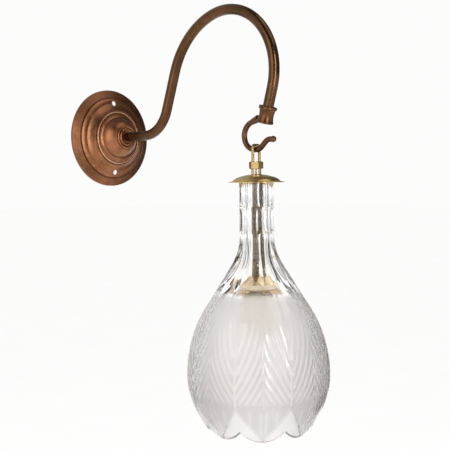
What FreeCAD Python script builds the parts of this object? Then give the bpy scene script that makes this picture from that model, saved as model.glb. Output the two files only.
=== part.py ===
"""Wall light with a swan-neck arm and a cut glass shade that hangs from a hook.

Row frame, millimetres: the wall is the plane y = 0, the arm reaches towards -Y and +Z is up. The
origin is the centre of the wall rose's back face. The bracket is the rose with everything that is
fixed to it, up to the hook. The pendant is everything that hangs on the hook.
"""

import FreeCAD
import Part
import math
import os
import Sketcher
from FreeCAD import Placement, Rotation, Vector

FULL_TURN = 360
QUARTER = 90

SIZES = [
    # name, value, meaning
    ("rose_radius", 51.6, "outer radius of the wall rose"),
    ("rose_rim", 2.0, "height of the rose's straight rim"),
    ("rim_round", 1.0, "radius of the round on the rim"),
    ("rose_sheet", 1.2, "thickness of the spun sheet"),
    ("step_radius", 43.0, "radius of the step in the backplate"),
    ("step_front", 5.5, "distance of the step from the wall"),
    ("step_rise", 1.1, "height of the step"),
    ("step_hollow", 14.0, "radius of the hollow sheet inside the step"),
    ("seat_radius", 37.0, "radius where the screws sit"),
    ("seat_front", 8.4, "distance of the screw seat from the wall"),
    ("ledge_round", 18.0, "radius of the round between the screws and the ledge"),
    ("ledge_radius", 29.6, "outer radius of the ledge that carries the dome"),
    ("ledge_front", 13.6, "distance of the ledge from the wall"),
    ("ledge_bore", 21.0, "radius of the opening in the backplate"),
    ("screw_spacing", 74.0, "distance between the wall screws"),
    ("screw_hole", 5.2, "diameter of the wall screw holes"),
    ("bead_radius", 28.1, "outer radius of the bead around the dome"),
    ("bead_size", 0.8, "radius of the bead's round"),
    ("bead_hollow", 9.0, "radius of the hollow inside the bead"),
    ("dome_foot", 21.6, "radius where the dome leaves its ring"),
    ("dome_foot_rise", 2.6, "height of the dome's foot over the ledge"),
    ("dome_top", 13.4, "radius of the dome's flat top"),
    ("dome_height", 14.6, "height of the flat top over the ledge"),
    ("dome_bulge", 22.0, "radius of the dome's round side"),
    ("boss_radius", 12.7, "radius of the ring around the arm"),
    ("boss_groove", 9.7, "radius of the groove between its two beads"),
    ("boss_height", 0.9, "height of the ring's edge"),
    ("boss_bead", 1.8, "radius of the ring's outer bead"),
    ("boss_bead_in", 2.4, "radius of the ring's inner bead"),
    ("boss_land", 0.9, "width of the flat land around the arm"),
    ("arm_diameter", 10.0, "outer diameter of the arm tube and of the threaded stem"),
    ("arm_bore", 8.0, "inner diameter of the arm tube"),
    ("arm_back", 3.0, "distance of the tube's end from the wall"),
    ("arm_stub", 58.7, "distance from the wall to the first bend"),
    ("low_bend", 35.0, "radius of the first bend"),
    ("rise_angle", 70.9, "slope of the rising run, degrees"),
    ("rise_length", 38.9, "length of the rising run"),
    ("shoulder_bend", 78.3, "radius of the bend up to the crown"),
    ("crown_angle", 14.8, "slope where the crown bend starts, degrees"),
    ("crown_bend", 60.3, "radius of the crown bend"),
    ("lean_angle", 16.4, "lean of the arm's end from the vertical, degrees"),
    ("tail_length", 17.6, "straight run from the crown bend to the collar"),
    ("tube_in_collar", 10.5, "depth of the tube in the collar"),
    ("collar_length", 15.6, "length of the collar"),
    ("collar_lip", 8.35, "radius of the collar's upper lip"),
    ("collar_waist", 6.95, "radius of the collar's waist"),
    ("collar_foot", 7.8, "radius of the collar's lower lip"),
    ("lip_height", 3.0, "height of the upper lip"),
    ("foot_height", 2.2, "height of the lower lip"),
    ("collar_edge", 0.6, "round on the collar's edges"),
    ("collar_hollow", 20.0, "radius of the collar's waist in its height"),
    ("mouth_bore", 5.6, "radius of the collar's open mouth"),
    ("bush_bore", 3.5, "radius of the hole for the flex"),
    ("hook_out", 10.95, "distance of the hook's bottom from the collar's mouth, towards the wall"),
    ("hook_drop", 23.5, "distance of the hook's bottom below the collar's mouth"),
    ("hook_wire", 5.2, "diameter of the hook"),
    ("hook_seat", 2.4, "length of the straight seat at the hook's bottom"),
    ("hook_back", 12.9, "radius of the hook's back"),
    ("hook_open", 71.0, "angle where the back leaves for the collar, degrees"),
    ("hook_root", 11.5, "length of the hook's straight root"),
    ("root_radius", 3.7, "radius of the hook's root at the collar"),
    ("hook_front", 8.0, "radius of the hook's front bends"),
    ("hook_slope", 42.0, "slope of the hook's front, degrees"),
    ("hook_rise", 7.0, "length of the hook's sloping run"),
    ("hook_tip", 3.8, "length of the hook's level tip"),
    ("ball_diameter", 5.8, "diameter of the ball at the hook's tip"),
    ("loop_clear", 0.15, "clearance of the loop over the hook"),
    ("loop_rod", 2.6, "diameter of the loop's rod"),
    ("loop_bend", 2.08, "radius of the loop's two bends"),
    ("loop_pitch", 9.0, "distance between the middles of the loop's legs"),
    ("loop_depth", 11.0, "distance from the hook's middle to the nut of the loop"),
    ("nut_width", 11.6, "width of the loop's hexagon across its flats"),
    ("nut_height", 6.7, "height of the loop's hexagon"),
    ("nut_roof", 2.0, "thickness of the hexagon's closed top"),
    ("nut_chamfer", 0.7, "height of the hexagon's chamfers"),
    ("flex_hole", 5.0, "diameter of the hole for the flex in the hexagon"),
    ("stem_bore", 7.0, "inner diameter of the threaded stem"),
    ("stem_show", 5.1, "length of stem between the hexagon and the cap"),
    ("thread_clear", 0.05, "radial clearance of what is screwed or slid on a tube"),
    ("cap_radius", 26.1, "radius of the saucer cap"),
    ("cap_height", 7.4, "height of the saucer cap"),
    ("cap_sheet", 0.9, "thickness of the saucer cap"),
    ("cap_shoulder", 15.0, "radius where the cap starts to fall"),
    ("cap_shoulder_drop", 2.0, "drop of the cap at its shoulder"),
    ("cap_brim", 21.6, "radius where the cap turns out to its brim"),
    ("cap_brim_drop", 5.9, "drop of the cap at its brim"),
    ("cap_crown_round", 48.0, "radius of the cap's crown"),
    ("cap_hollow_round", 12.0, "radius of the hollow above the brim"),
    ("cap_brim_round", 8.0, "radius of the brim's turn"),
    ("cap_edge", 0.7, "height of the brim's edge"),
    ("cap_round_gap", 1.0, "difference between the radii of the cap's two faces"),
    ("cap_hub", 8.0, "radius of the threaded hub under the cap"),
    ("cap_hub_depth", 5.5, "depth of the hub below the cap's top"),
    ("washer_thick", 2.0, "thickness of the felt washer on the glass"),
    ("washer_bore", 10.8, "inner radius of the felt washer"),
    ("neck_radius", 16.15, "radius of the glass neck"),
    ("neck_length", 51.8, "length of the straight neck"),
    ("neck_flats", 8, "number of flats on the neck and of leaves at the rim"),
    ("flat_depth", 1.2, "depth of the flats on the neck"),
    ("neck_bore", 10.5, "radius of the bore of the neck"),
    ("bore_length", 69.2, "length of the straight bore"),
    ("flare_bend", 50.0, "radius of the flare under the neck"),
    ("flare_angle", 32.5, "slope of the shoulder from the vertical, degrees"),
    ("shoulder_drop", 116.2, "depth below the glass top where the body starts to round"),
    ("body_radius", 66.3, "largest radius of the glass"),
    ("body_drop", 179.7, "depth of the largest radius below the glass top"),
    ("lower_bend", 68.0, "radius of the round below the widest place"),
    ("lower_angle", 28.0, "slope of the skirt from the vertical, degrees"),
    ("glass_height", 230.9, "height of the glass"),
    ("seat_drop", 100.9, "depth of the inner seat below the glass top"),
    ("inner_seat", 25.2, "inner radius of the glass at its seat"),
    ("inner_slope", 49.7, "slope of the inner wall at the seat from the vertical, degrees"),
    ("body_wall", 5.0, "thickness of the glass at its widest place"),
    ("rim_wall", 4.9, "thickness of the glass at the skirt"),
    ("leaf_depth", 8.6, "depth of the notches between the leaves"),
    ("leaf_half", 18.6, "half width of a leaf at the rim"),
    ("disc_inset", 0.7, "how much smaller the disc is than the seat in the glass"),
    ("disc_sheet", 1.0, "thickness of the disc"),
    ("disc_slope", 5.0, "width of the sloping edge of the disc"),
    ("disc_shoulder_rise", 4.6, "height of the shoulder over the rim"),
    ("disc_rise", 10.6, "height of the disc's top over its rim"),
    ("disc_crown", 60.0, "radius of the disc's crown"),
    ("gasket_thick", 0.9, "thickness of the rubber under the glass"),
    ("clamp_washer", 9.0, "radius of the plain washers"),
    ("clamp_washer_thick", 1.0, "thickness of the plain washers"),
    ("locknut_width", 14.0, "width of the locknuts across their flats"),
    ("locknut_thick", 3.6, "thickness of the locknuts"),
    ("strap_length", 54.0, "length of the strap inside the rose"),
    ("strap_width", 16.0, "width of the strap"),
    ("strap_thick", 2.0, "thickness of the strap"),
    ("strap_screw", 16.5, "distance of the strap's screws from its middle"),
    ("small_screw", 3.5, "diameter of the small machine screws"),
    ("small_head", 6.4, "diameter of their heads"),
    ("small_head_thick", 1.8, "thickness of their heads"),
    ("tag_thick", 0.8, "thickness of the earth tag"),
    ("block_length", 13.0, "length of the terminal block"),
    ("block_width", 20.0, "width of the terminal block"),
    ("block_height", 8.0, "height of the terminal block"),
    ("terminal_radius", 2.4, "radius of a terminal's brass tube"),
    ("terminal_bore", 1.5, "radius of the hole in a terminal's tube"),
    ("terminal_screw", 1.3, "radius of a terminal's screw"),
    ("terminal_gap", 0.6, "how deep the terminal screws sit"),
    ("terminal_spread", 6.6, "distance of a terminal from the block's middle"),
    ("terminal_inset", 1.0, "how far a terminal's tube ends inside the block"),
    ("holder_hub", 7.5, "radius of the lampholder's entry"),
    ("holder_hub_height", 5.0, "height of the lampholder's entry"),
    ("holder_slope", 4.5, "height of the slope under the entry"),
    ("holder_round", 5.0, "radius of the cap's shoulder"),
    ("holder_radius", 13.8, "radius of the lampholder's cap"),
    ("holder_cap_height", 19.0, "height of the lampholder's cap"),
    ("holder_wall", 0.9, "wall of the lampholder's cap"),
    ("barrel_sink", 0.9, "how far the insulator stands above the cap's lower edge"),
    ("barrel_radius", 12.8, "outer radius of the lampholder's barrel"),
    ("barrel_bore", 11.2, "radius of the barrel's bore for the lamp cap"),
    ("barrel_relief", 0.3, "how much wider the barrel is above the lamp's seat"),
    ("plunger_room", 0.3, "how far the lamp's seat starts below the plungers"),
    ("barrel_length", 31.5, "length of the barrel"),
    ("insulator_flange", 2.5, "thickness of the insulator's flange"),
    ("insulator_depth", 10.0, "depth of the insulator in the barrel"),
    ("insulator_clear", 0.2, "radial clearance of the insulator"),
    ("slot_width", 3.0, "width of the slots for the lamp's pins"),
    ("slot_depth", 9.0, "depth of the slots"),
    ("slot_side", 5.5, "side reach of the slots"),
    ("ring_radius", 18.5, "outer radius of the shade ring"),
    ("ring_height", 4.0, "height of the shade ring"),
    ("ring_drop", 16.0, "depth of the shade ring below the barrel's top"),
    ("plunger_pitch", 10.0, "distance between the two plungers"),
    ("plunger_radius", 2.2, "radius of a plunger"),
    ("plunger_collar", 2.8, "radius of a plunger's collar"),
    ("plunger_collar_thick", 1.4, "thickness of a plunger's collar"),
    ("plunger_clear", 0.15, "radial clearance of a plunger"),
    ("plunger_out", 4.0, "how far a plunger stands out"),
    ("plunger_step", 3.6, "thickness of porcelain that holds a plunger's collar"),
    ("plunger_float", 0.05, "gap under a plunger's collar"),
    ("spring_wire", 0.5, "diameter of a plunger spring's wire"),
    ("spring_turns", 5, "turns of a plunger spring"),
    ("spring_gap", 0.1, "gap at each end of a plunger spring"),
    ("post_size", 5.0, "side of a lampholder terminal"),
    ("post_height", 2.6, "height of a lampholder terminal"),
]


class Size:
    """A number together with the spreadsheet expression that gives it."""

    def __init__(self, value, text):
        self.value = value
        self.text = text

    def _with(self, other, sign, result):
        return Size(result, f"({self.text} {sign} {size(other).text})")

    def __add__(self, other):
        return self._with(other, "+", self.value + size(other).value)

    def __sub__(self, other):
        return self._with(other, "-", self.value - size(other).value)

    def __mul__(self, other):
        return self._with(other, "*", self.value * size(other).value)

    def __truediv__(self, other):
        return self._with(other, "/", self.value / size(other).value)

    def __neg__(self):
        return Size(-self.value, f"(0 - {self.text})")


def size(number):
    return number if isinstance(number, Size) else Size(number, repr(number))


def sine(angle):
    return Size(math.sin(math.radians(angle.value)), f"sin({angle.text})")


def cosine(angle):
    return Size(math.cos(math.radians(angle.value)), f"cos({angle.text})")


def tangent(angle):
    return Size(math.tan(math.radians(angle.value)), f"tan({angle.text})")


def root(number):
    return Size(math.sqrt(number.value), f"sqrt({number.text})")


doc = FreeCAD.newDocument("wall_light")
sheet = doc.addObject("Spreadsheet::Sheet", "Sizes")
dim = {}
for row, (alias, value, meaning) in enumerate(SIZES, start=1):
    sheet.set(f"A{row}", alias)
    sheet.set(f"B{row}", str(value))
    sheet.set(f"C{row}", meaning)
    sheet.setAlias(f"B{row}", alias)
    dim[alias] = Size(value, f"Sizes.{alias}")
doc.recompute()

NODES = []


def node(obj, label):
    """Marks an object as a sub-part: its label is the name of its file."""
    obj.Label = label
    NODES.append(obj)
    return obj


def bind(obj, **sizes):
    """Ties an object's properties to the spreadsheet."""
    for name, value in sizes.items():
        obj.setExpression(name, size(value).text)
    return obj


def place(obj, base=(0, 0, 0), rotation=None):
    """Puts an object where the three sizes say, turned by a fixed rotation."""
    values = [size(v).value for v in base]
    obj.Placement = Placement(Vector(*values), rotation or Rotation())
    for letter, value in zip("xyz", base):
        if size(value).value or isinstance(value, Size):
            obj.setExpression(f"Placement.Base.{letter}", size(value).text)
    return obj


def plane(body, role):
    return next(f for f in body.Origin.OriginFeatures if f.Role == role)


def sketch_on(body, role, name, offset=None):
    """A sketch on one of the body's origin planes, moved along the plane's normal."""
    sketch = body.newObject("Sketcher::SketchObject", name)
    sketch.AttachmentSupport = [(plane(body, role), "")]
    sketch.MapMode = "FlatFace"
    if offset is not None:
        sketch.AttachmentOffset = Placement(Vector(0, 0, offset.value), Rotation())
        sketch.setExpression("AttachmentOffset.Base.z", offset.text)
    return sketch


def fix(sketch, geometry, position, point):
    """Ties a point of a sketch to its two sizes."""
    for kind, axis, value in (("DistanceX", -2, size(point[0])), ("DistanceY", -1, size(point[1]))):
        if abs(value.value) < 1e-9:
            sketch.addConstraint(Sketcher.Constraint("PointOnObject", geometry, position, axis))
            continue
        index = sketch.addConstraint(
            Sketcher.Constraint(kind, -1, 1, geometry, position, value.value)
        )
        sketch.setExpression(f"Constraints[{index}]", value.text)


def arc_between(start, end, radius):
    """The shorter arc. Its middle is left of the way for a positive radius, right for a negative."""
    middle = (start + end) * 0.5
    way = end - start
    reach = math.sqrt(max(radius * radius - way.Length**2 / 4, 0))
    left = Vector(-way.y, way.x, 0).normalize()
    centre = middle + left * math.copysign(reach, radius)
    first, last = (start, end) if radius > 0 else (end, start)
    angles = [math.atan2(p.y - centre.y, p.x - centre.x) for p in (first, last)]
    circle = Part.Circle(centre, Vector(0, 0, 1), abs(radius))
    return Part.ArcOfCircle(circle, *angles)


def outline(sketch, corners, closed=True):
    """Lines and arcs through the corners. A third entry is the radius of the arc that leaves it."""
    points = [Vector(size(c[0]).value, size(c[1]).value, 0) for c in corners]
    count = len(corners)
    ends = []
    for i in range(count if closed else count - 1):
        start, end = points[i], points[(i + 1) % count]
        if len(corners[i]) > 2:
            radius = size(corners[i][2])
            edge = sketch.addGeometry(arc_between(start, end, radius.value), False)
            turn = (1, 2) if radius.value > 0 else (2, 1)
            length = radius if radius.value > 0 else -radius
            index = sketch.addConstraint(Sketcher.Constraint("Radius", edge, length.value))
            sketch.setExpression(f"Constraints[{index}]", length.text)
        else:
            edge = sketch.addGeometry(Part.LineSegment(start, end), False)
            turn = (1, 2)
        ends.append((edge, *turn))
    for i, (edge, first, last) in enumerate(ends):
        fix(sketch, edge, first, corners[i])
        if i + 1 < len(ends) or closed:
            following, start, _ = ends[(i + 1) % len(ends)]
            sketch.addConstraint(Sketcher.Constraint("Coincident", edge, last, following, start))
    if not closed:
        edge, _, last = ends[-1]
        fix(sketch, edge, last, corners[-1])
    return sketch


def circle(sketch, centre, radius):
    radius = size(radius)
    middle = Vector(size(centre[0]).value, size(centre[1]).value, 0)
    edge = sketch.addGeometry(Part.Circle(middle, Vector(0, 0, 1), radius.value), False)
    index = sketch.addConstraint(Sketcher.Constraint("Radius", edge, radius.value))
    sketch.setExpression(f"Constraints[{index}]", radius.text)
    fix(sketch, edge, 3, centre)


def turned(name, corners):
    """A body turned about its Z axis. Corners are (radius, height)."""
    body = doc.addObject("PartDesign::Body", name)
    profile = outline(sketch_on(body, "XZ_Plane", name + "_profile"), corners)
    turn = body.newObject("PartDesign::Revolution", name + "_turn")
    turn.Profile = profile
    turn.ReferenceAxis = (profile, ["V_Axis"])
    turn.Angle = FULL_TURN
    profile.Visibility = False
    return body


def ring(name, inner, outer, low, high):
    """A turned ring with a square section."""
    return turned(name, [(inner, low), (outer, low), (outer, high), (inner, high)])


def pocket(body, profile, name, depth, backwards):
    cut = body.newObject("PartDesign::Pocket", name)
    cut.Profile = profile
    cut.Type = 0
    cut.Reversed = backwards
    bind(cut, Length=depth)
    return cut


def hexagon(name, width, low, height, bore):
    """A hexagonal nut with a round bore, standing on the height given by low."""
    body = doc.addObject("PartDesign::Body", name)
    profile = sketch_on(body, "XY_Plane", name + "_profile", low)
    half = width / 2
    corner = width / root(size(3))
    side = corner / 2
    outline(
        profile,
        [(corner, 0), (side, half), (-side, half), (-corner, 0), (-side, -half), (side, -half)],
    )
    circle(profile, (0, 0), bore)
    pad = body.newObject("PartDesign::Pad", name + "_pad")
    pad.Profile = profile
    bind(pad, Length=height)
    return body


def box(name, lengths, corner=(0, 0, 0), rotation=None):
    """A box between its corner and the corner its three lengths away."""
    obj = doc.addObject("Part::Box", name)
    bind(obj, Length=lengths[0], Width=lengths[1], Height=lengths[2])
    return place(obj, corner, rotation)


def rod(name, radius, height, base=(0, 0, 0), rotation=None):
    """A cylinder that stands on its base."""
    obj = doc.addObject("Part::Cylinder", name)
    bind(obj, Radius=radius, Height=height)
    return place(obj, base, rotation)


def fused(name, shapes):
    obj = doc.addObject("Part::MultiFuse", name)
    obj.Shapes = shapes
    return obj


def cut(name, base, tool):
    obj = doc.addObject("Part::Cut", name)
    obj.Base = base
    obj.Tool = tool
    return obj


def group(name, shapes):
    """Separate solids that share one node."""
    obj = doc.addObject("Part::Compound", name)
    obj.Links = shapes
    return obj


# The rose's parts are drawn standing on the wall, with local Z away from it, and then tipped so
# that local Z becomes -Y and local Y becomes +Z.
OFF_WALL = Rotation(Vector(1, 0, 0), QUARTER)
ALONG_X = Rotation(Vector(0, 1, 0), QUARTER)
ALONG_Y = Rotation(Vector(1, 0, 0), -QUARTER)

tube = dim["arm_diameter"] / 2
tube_hole = tube + dim["thread_clear"]
dome_flat = dim["ledge_front"] + dim["dome_height"]
strap_front = dim["ledge_front"] - dim["rose_sheet"]
strap_rear = strap_front - dim["strap_thick"]
# The sheet's inside is its outside moved in at 45 degrees by the sheet's thickness.
sheet_in = dim["rose_sheet"] / root(size(2))
# A cutting tool runs this far past what it cuts.
OVERRUN = size(1)


def rose_backplate():
    rim_round = dim["rim_round"] * 2 / 3
    step_in = dim["step_radius"] - dim["rose_sheet"] / 4
    outside = [
        (dim["rose_radius"], 0),
        (dim["rose_radius"], dim["rose_rim"], dim["rim_round"]),
        (dim["rose_radius"] - rim_round, dim["rose_rim"] + rim_round),
        (dim["step_radius"], dim["step_front"]),
        (step_in, dim["step_front"] + dim["step_rise"], dim["step_hollow"]),
        (dim["seat_radius"], dim["seat_front"], -dim["ledge_round"]),
        (dim["ledge_radius"], dim["ledge_front"]),
    ]
    inside = [
        (dim["ledge_radius"] - sheet_in * 1.5, strap_front, dim["ledge_round"] - 2),
        (dim["seat_radius"] - sheet_in, dim["seat_front"] - sheet_in, -(dim["step_hollow"] - 1)),
        (step_in - sheet_in, dim["step_front"] + dim["step_rise"] - sheet_in),
        (dim["step_radius"] - sheet_in, dim["step_front"] - sheet_in),
        (dim["rose_radius"] - dim["rose_sheet"], dim["rose_rim"] + rim_round - sheet_in),
        (dim["rose_radius"] - dim["rose_sheet"], 0),
    ]
    ledge = [(dim["ledge_bore"], dim["ledge_front"]), (dim["ledge_bore"], strap_front)]
    body = turned("backplate", outside + ledge + inside)
    holes = sketch_on(body, "XY_Plane", "wall_screws")
    for side in (1, -1):
        circle(holes, (0, dim["screw_spacing"] / 2 * side), dim["screw_hole"] / 2)
    pocket(body, holes, "screw_holes", dim["ledge_front"], True)
    return node(place(body, rotation=OFF_WALL), "rose_backplate")


def rose_dome():
    low = dim["ledge_front"]
    bead = dim["bead_size"]
    foot = low + dim["dome_foot_rise"]
    outside = [
        (dim["bead_radius"], low),
        (dim["bead_radius"], low + bead, bead),
        (dim["bead_radius"] - bead, low + bead * 2, bead),
        (dim["bead_radius"] - bead * 2, low + bead, -dim["bead_hollow"]),
        (dim["dome_foot"], foot, dim["dome_bulge"]),
        (dim["dome_top"], dome_flat),
        (tube_hole, dome_flat),
    ]
    inside = [
        (tube_hole, dome_flat - dim["rose_sheet"]),
        (
            dim["dome_top"] - sheet_in,
            dome_flat - dim["rose_sheet"],
            -(dim["dome_bulge"] - dim["rose_sheet"]),
        ),
        (dim["dome_foot"] - dim["rose_sheet"], foot - sheet_in),
        (dim["dome_foot"], low),
    ]
    return node(place(turned("dome", outside + inside), rotation=OFF_WALL), "rose_dome")


def arm_boss():
    edge = dome_flat + dim["boss_height"]
    corners = [
        (tube_hole, dome_flat),
        (dim["boss_radius"], dome_flat),
        (dim["boss_radius"], edge, dim["boss_bead"]),
        (dim["boss_groove"], edge, dim["boss_bead_in"]),
        (tube_hole + dim["boss_land"], edge),
        (tube_hole, edge),
    ]
    return node(place(turned("boss", corners), rotation=OFF_WALL), "arm_boss")


def clamp_strap():
    bar = box(
        "strap_bar",
        (dim["strap_length"], dim["strap_width"], dim["strap_thick"]),
        (-(dim["strap_length"] / 2), -strap_rear, -(dim["strap_width"] / 2)),
        OFF_WALL,
    )
    through = dim["strap_thick"] * 3
    back = -(strap_rear - dim["strap_thick"])
    holes = [rod("strap_bore", tube_hole, through, (0, back, 0), OFF_WALL)]
    for side in (1, -1):
        holes.append(
            rod(
                f"strap_tapping_{len(holes)}",
                dim["small_screw"] / 2 + dim["thread_clear"],
                through,
                (dim["strap_screw"] * side, back, 0),
                OFF_WALL,
            )
        )
    return node(cut("strap", bar, fused("strap_holes", holes)), "clamp_strap")


def arm_washer():
    low = strap_rear - dim["clamp_washer_thick"]
    body = ring("washer", tube_hole, dim["clamp_washer"], low, strap_rear)
    return node(place(body, rotation=OFF_WALL), "arm_washer")


def arm_nut():
    low = strap_rear - dim["clamp_washer_thick"] - dim["locknut_thick"]
    body = hexagon("back_nut", dim["locknut_width"], low, dim["locknut_thick"], tube_hole)
    return node(place(body, rotation=OFF_WALL), "arm_nut")


def cheese_screw(name, x, head_low, reach):
    """A screw whose head faces the wall. Its shank goes on through the strap."""
    head = rod(
        name + "_head",
        dim["small_head"] / 2,
        dim["small_head_thick"],
        (x, -head_low, 0),
        OFF_WALL,
    )
    shank = rod(
        name + "_shank",
        dim["small_screw"] / 2,
        reach,
        (x, -head_low, 0),
        OFF_WALL,
    )
    slot = box(
        name + "_slot",
        (dim["small_head"], dim["small_head_thick"] / 3, dim["small_head_thick"] / 2),
        (
            x - dim["small_head"] / 2,
            -(head_low + dim["small_head_thick"] / 3),
            -(dim["small_head_thick"] / 4),
        ),
    )
    return cut(name, fused(name + "_blank", [head, shank]), slot)


def earth_terminal():
    """The earth screw and its tag, on the strap's right-hand end."""
    x = dim["strap_screw"]
    tag_low = strap_rear - dim["tag_thick"]
    eye = rod("tag_eye", dim["small_head"] / 2, dim["tag_thick"], (x, -tag_low, 0), OFF_WALL)
    tail_length = dim["strap_width"] * 0.9
    tail = box(
        "tag_tail",
        (dim["small_head"] / 2, dim["tag_thick"], tail_length),
        (x - dim["small_head"] / 4, -strap_rear, size(0)),
    )
    hole = rod(
        "tag_hole",
        dim["small_screw"] / 2 + dim["thread_clear"],
        dim["tag_thick"] * 3,
        (x, -(tag_low - dim["tag_thick"]), 0),
        OFF_WALL,
    )
    node(cut("tag", fused("tag_blank", [eye, tail]), hole), "earth_tag")
    head_low = tag_low - dim["small_head_thick"]
    reach = dim["small_head_thick"] + dim["tag_thick"] + dim["strap_thick"] + OVERRUN
    node(cheese_screw("earth_bolt", x, head_low, reach), "earth_screw")


def terminal_block():
    """The porcelain block where the supply meets the lamp's flex, on the strap's left-hand end."""
    x = -dim["strap_screw"]
    length, width, height = dim["block_length"], dim["block_width"], dim["block_height"]
    low = strap_rear - height
    blank = box(
        "block_blank",
        (length, height, width),
        (x - length / 2, -strap_rear, -(width / 2)),
    )
    cuts = [
        rod("block_screw_hole", dim["small_screw"] / 2 + dim["thread_clear"], height * 2,
            (x, -(low - height / 2), 0), OFF_WALL),
        rod("block_screw_recess", dim["small_head"] / 2 + dim["thread_clear"], height,
            (x, -(low - height + dim["small_head_thick"] + dim["terminal_inset"]), 0), OFF_WALL),
    ]
    tubes = []
    screws = []
    middle = low + height / 2
    for i, side in enumerate((1, -1)):
        z = dim["terminal_spread"] * side
        cuts.append(
            rod(f"block_bore_{i}", dim["terminal_radius"], length * 2,
                (x - length, -middle, z), ALONG_X)
        )
        inset = dim["terminal_inset"]
        barrel = rod(f"terminal_barrel_{i}", dim["terminal_radius"], length - inset * 2,
                     (x - length / 2 + inset, -middle, z), ALONG_X)
        bore = rod(f"terminal_hole_{i}", dim["terminal_bore"], length * 2,
                   (x - length, -middle, z), ALONG_X)
        tapping = rod(f"terminal_tapping_{i}", dim["terminal_screw"], height,
                      (x, -(middle - height), z), OFF_WALL)
        cuts.append(
            rod(f"block_driver_hole_{i}", dim["terminal_screw"] * 1.4, height,
                (x, -(middle - height), z), OFF_WALL)
        )
        tubes.append(cut(f"terminal_tube_{i}", barrel, fused(f"terminal_voids_{i}", [bore, tapping])))
        screws.append(
            rod(f"terminal_screw_{i}", dim["terminal_screw"], height / 2 - dim["terminal_bore"] * 0.5,
                (x, -(low + dim["terminal_gap"]), z), OFF_WALL)
        )
    node(cut("block", blank, fused("block_voids", cuts)), "terminal_block")
    node(group("inserts", tubes), "terminal_inserts")
    node(group("clamp_screws", screws), "terminal_screws")
    head_low = low + dim["terminal_inset"]
    reach = height - dim["terminal_inset"] + dim["strap_thick"] + OVERRUN
    node(cheese_screw("block_bolt", x, head_low, reach), "block_screw")


# Points of the arm's middle line, (y, z). Angles are slopes of the way out along the arm.
rise = dim["rise_angle"]
crown = dim["crown_angle"]
lean = dim["lean_angle"]
bend_start = (-dim["arm_stub"], size(0))
rise_start = (
    bend_start[0] - dim["low_bend"] * sine(rise),
    dim["low_bend"] * (size(1) - cosine(rise)),
)
rise_end = (
    rise_start[0] - dim["rise_length"] * cosine(rise),
    rise_start[1] + dim["rise_length"] * sine(rise),
)
crown_start = (
    rise_end[0] - dim["shoulder_bend"] * (sine(rise) - sine(crown)),
    rise_end[1] + dim["shoulder_bend"] * (cosine(crown) - cosine(rise)),
)
crown_end = (
    crown_start[0] - dim["crown_bend"] * (sine(crown) + cosine(lean)),
    crown_start[1] - dim["crown_bend"] * (sine(lean) + cosine(crown)),
)


def down_arm(length):
    """A point on the leaning axis of the arm's end, below the end of the crown bend."""
    return (crown_end[0] + length * sine(lean), crown_end[1] - length * cosine(lean))


collar_top = down_arm(dim["tail_length"])
collar_mouth = down_arm(dim["tail_length"] + dim["collar_length"])
# The middle of the hook's seat: the pendant hangs from this point.
hang_y = collar_mouth[0] + dim["hook_out"]
hang_z = collar_mouth[1] - dim["hook_drop"]


def swan_neck_arm():
    body = doc.addObject("PartDesign::Body", "arm")
    route = sketch_on(body, "YZ_Plane", "arm_route")
    tube_end = down_arm(dim["tail_length"] + dim["tube_in_collar"])
    crown_top = (
        crown_start[0] - dim["crown_bend"] * sine(crown),
        crown_start[1] + dim["crown_bend"] * (size(1) - cosine(crown)),
    )
    outline(
        route,
        [
            (-dim["arm_back"], 0),
            (*bend_start, -dim["low_bend"]),
            rise_start,
            (*rise_end, dim["shoulder_bend"]),
            (*crown_start, dim["crown_bend"]),
            (*crown_top, dim["crown_bend"]),
            crown_end,
            tube_end,
        ],
        closed=False,
    )
    section = sketch_on(body, "XZ_Plane", "arm_section", dim["arm_back"])
    circle(section, (0, 0), tube)
    circle(section, (0, 0), dim["arm_bore"] / 2)
    pipe = body.newObject("PartDesign::AdditivePipe", "arm_pipe")
    pipe.Profile = section
    pipe.Spine = (route, [])
    return node(body, "swan_neck_arm")


def leaning(obj):
    """Puts a turned part on the axis of the arm's end, with its origin at the collar's top."""
    obj.Placement = Placement(Vector(), Rotation(Vector(1, 0, 0), lean.value))
    bind(obj, **{"Placement.Base.y": collar_top[0], "Placement.Base.z": collar_top[1]})
    bind(obj, **{"Placement.Rotation.Angle": lean})
    return obj


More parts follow.
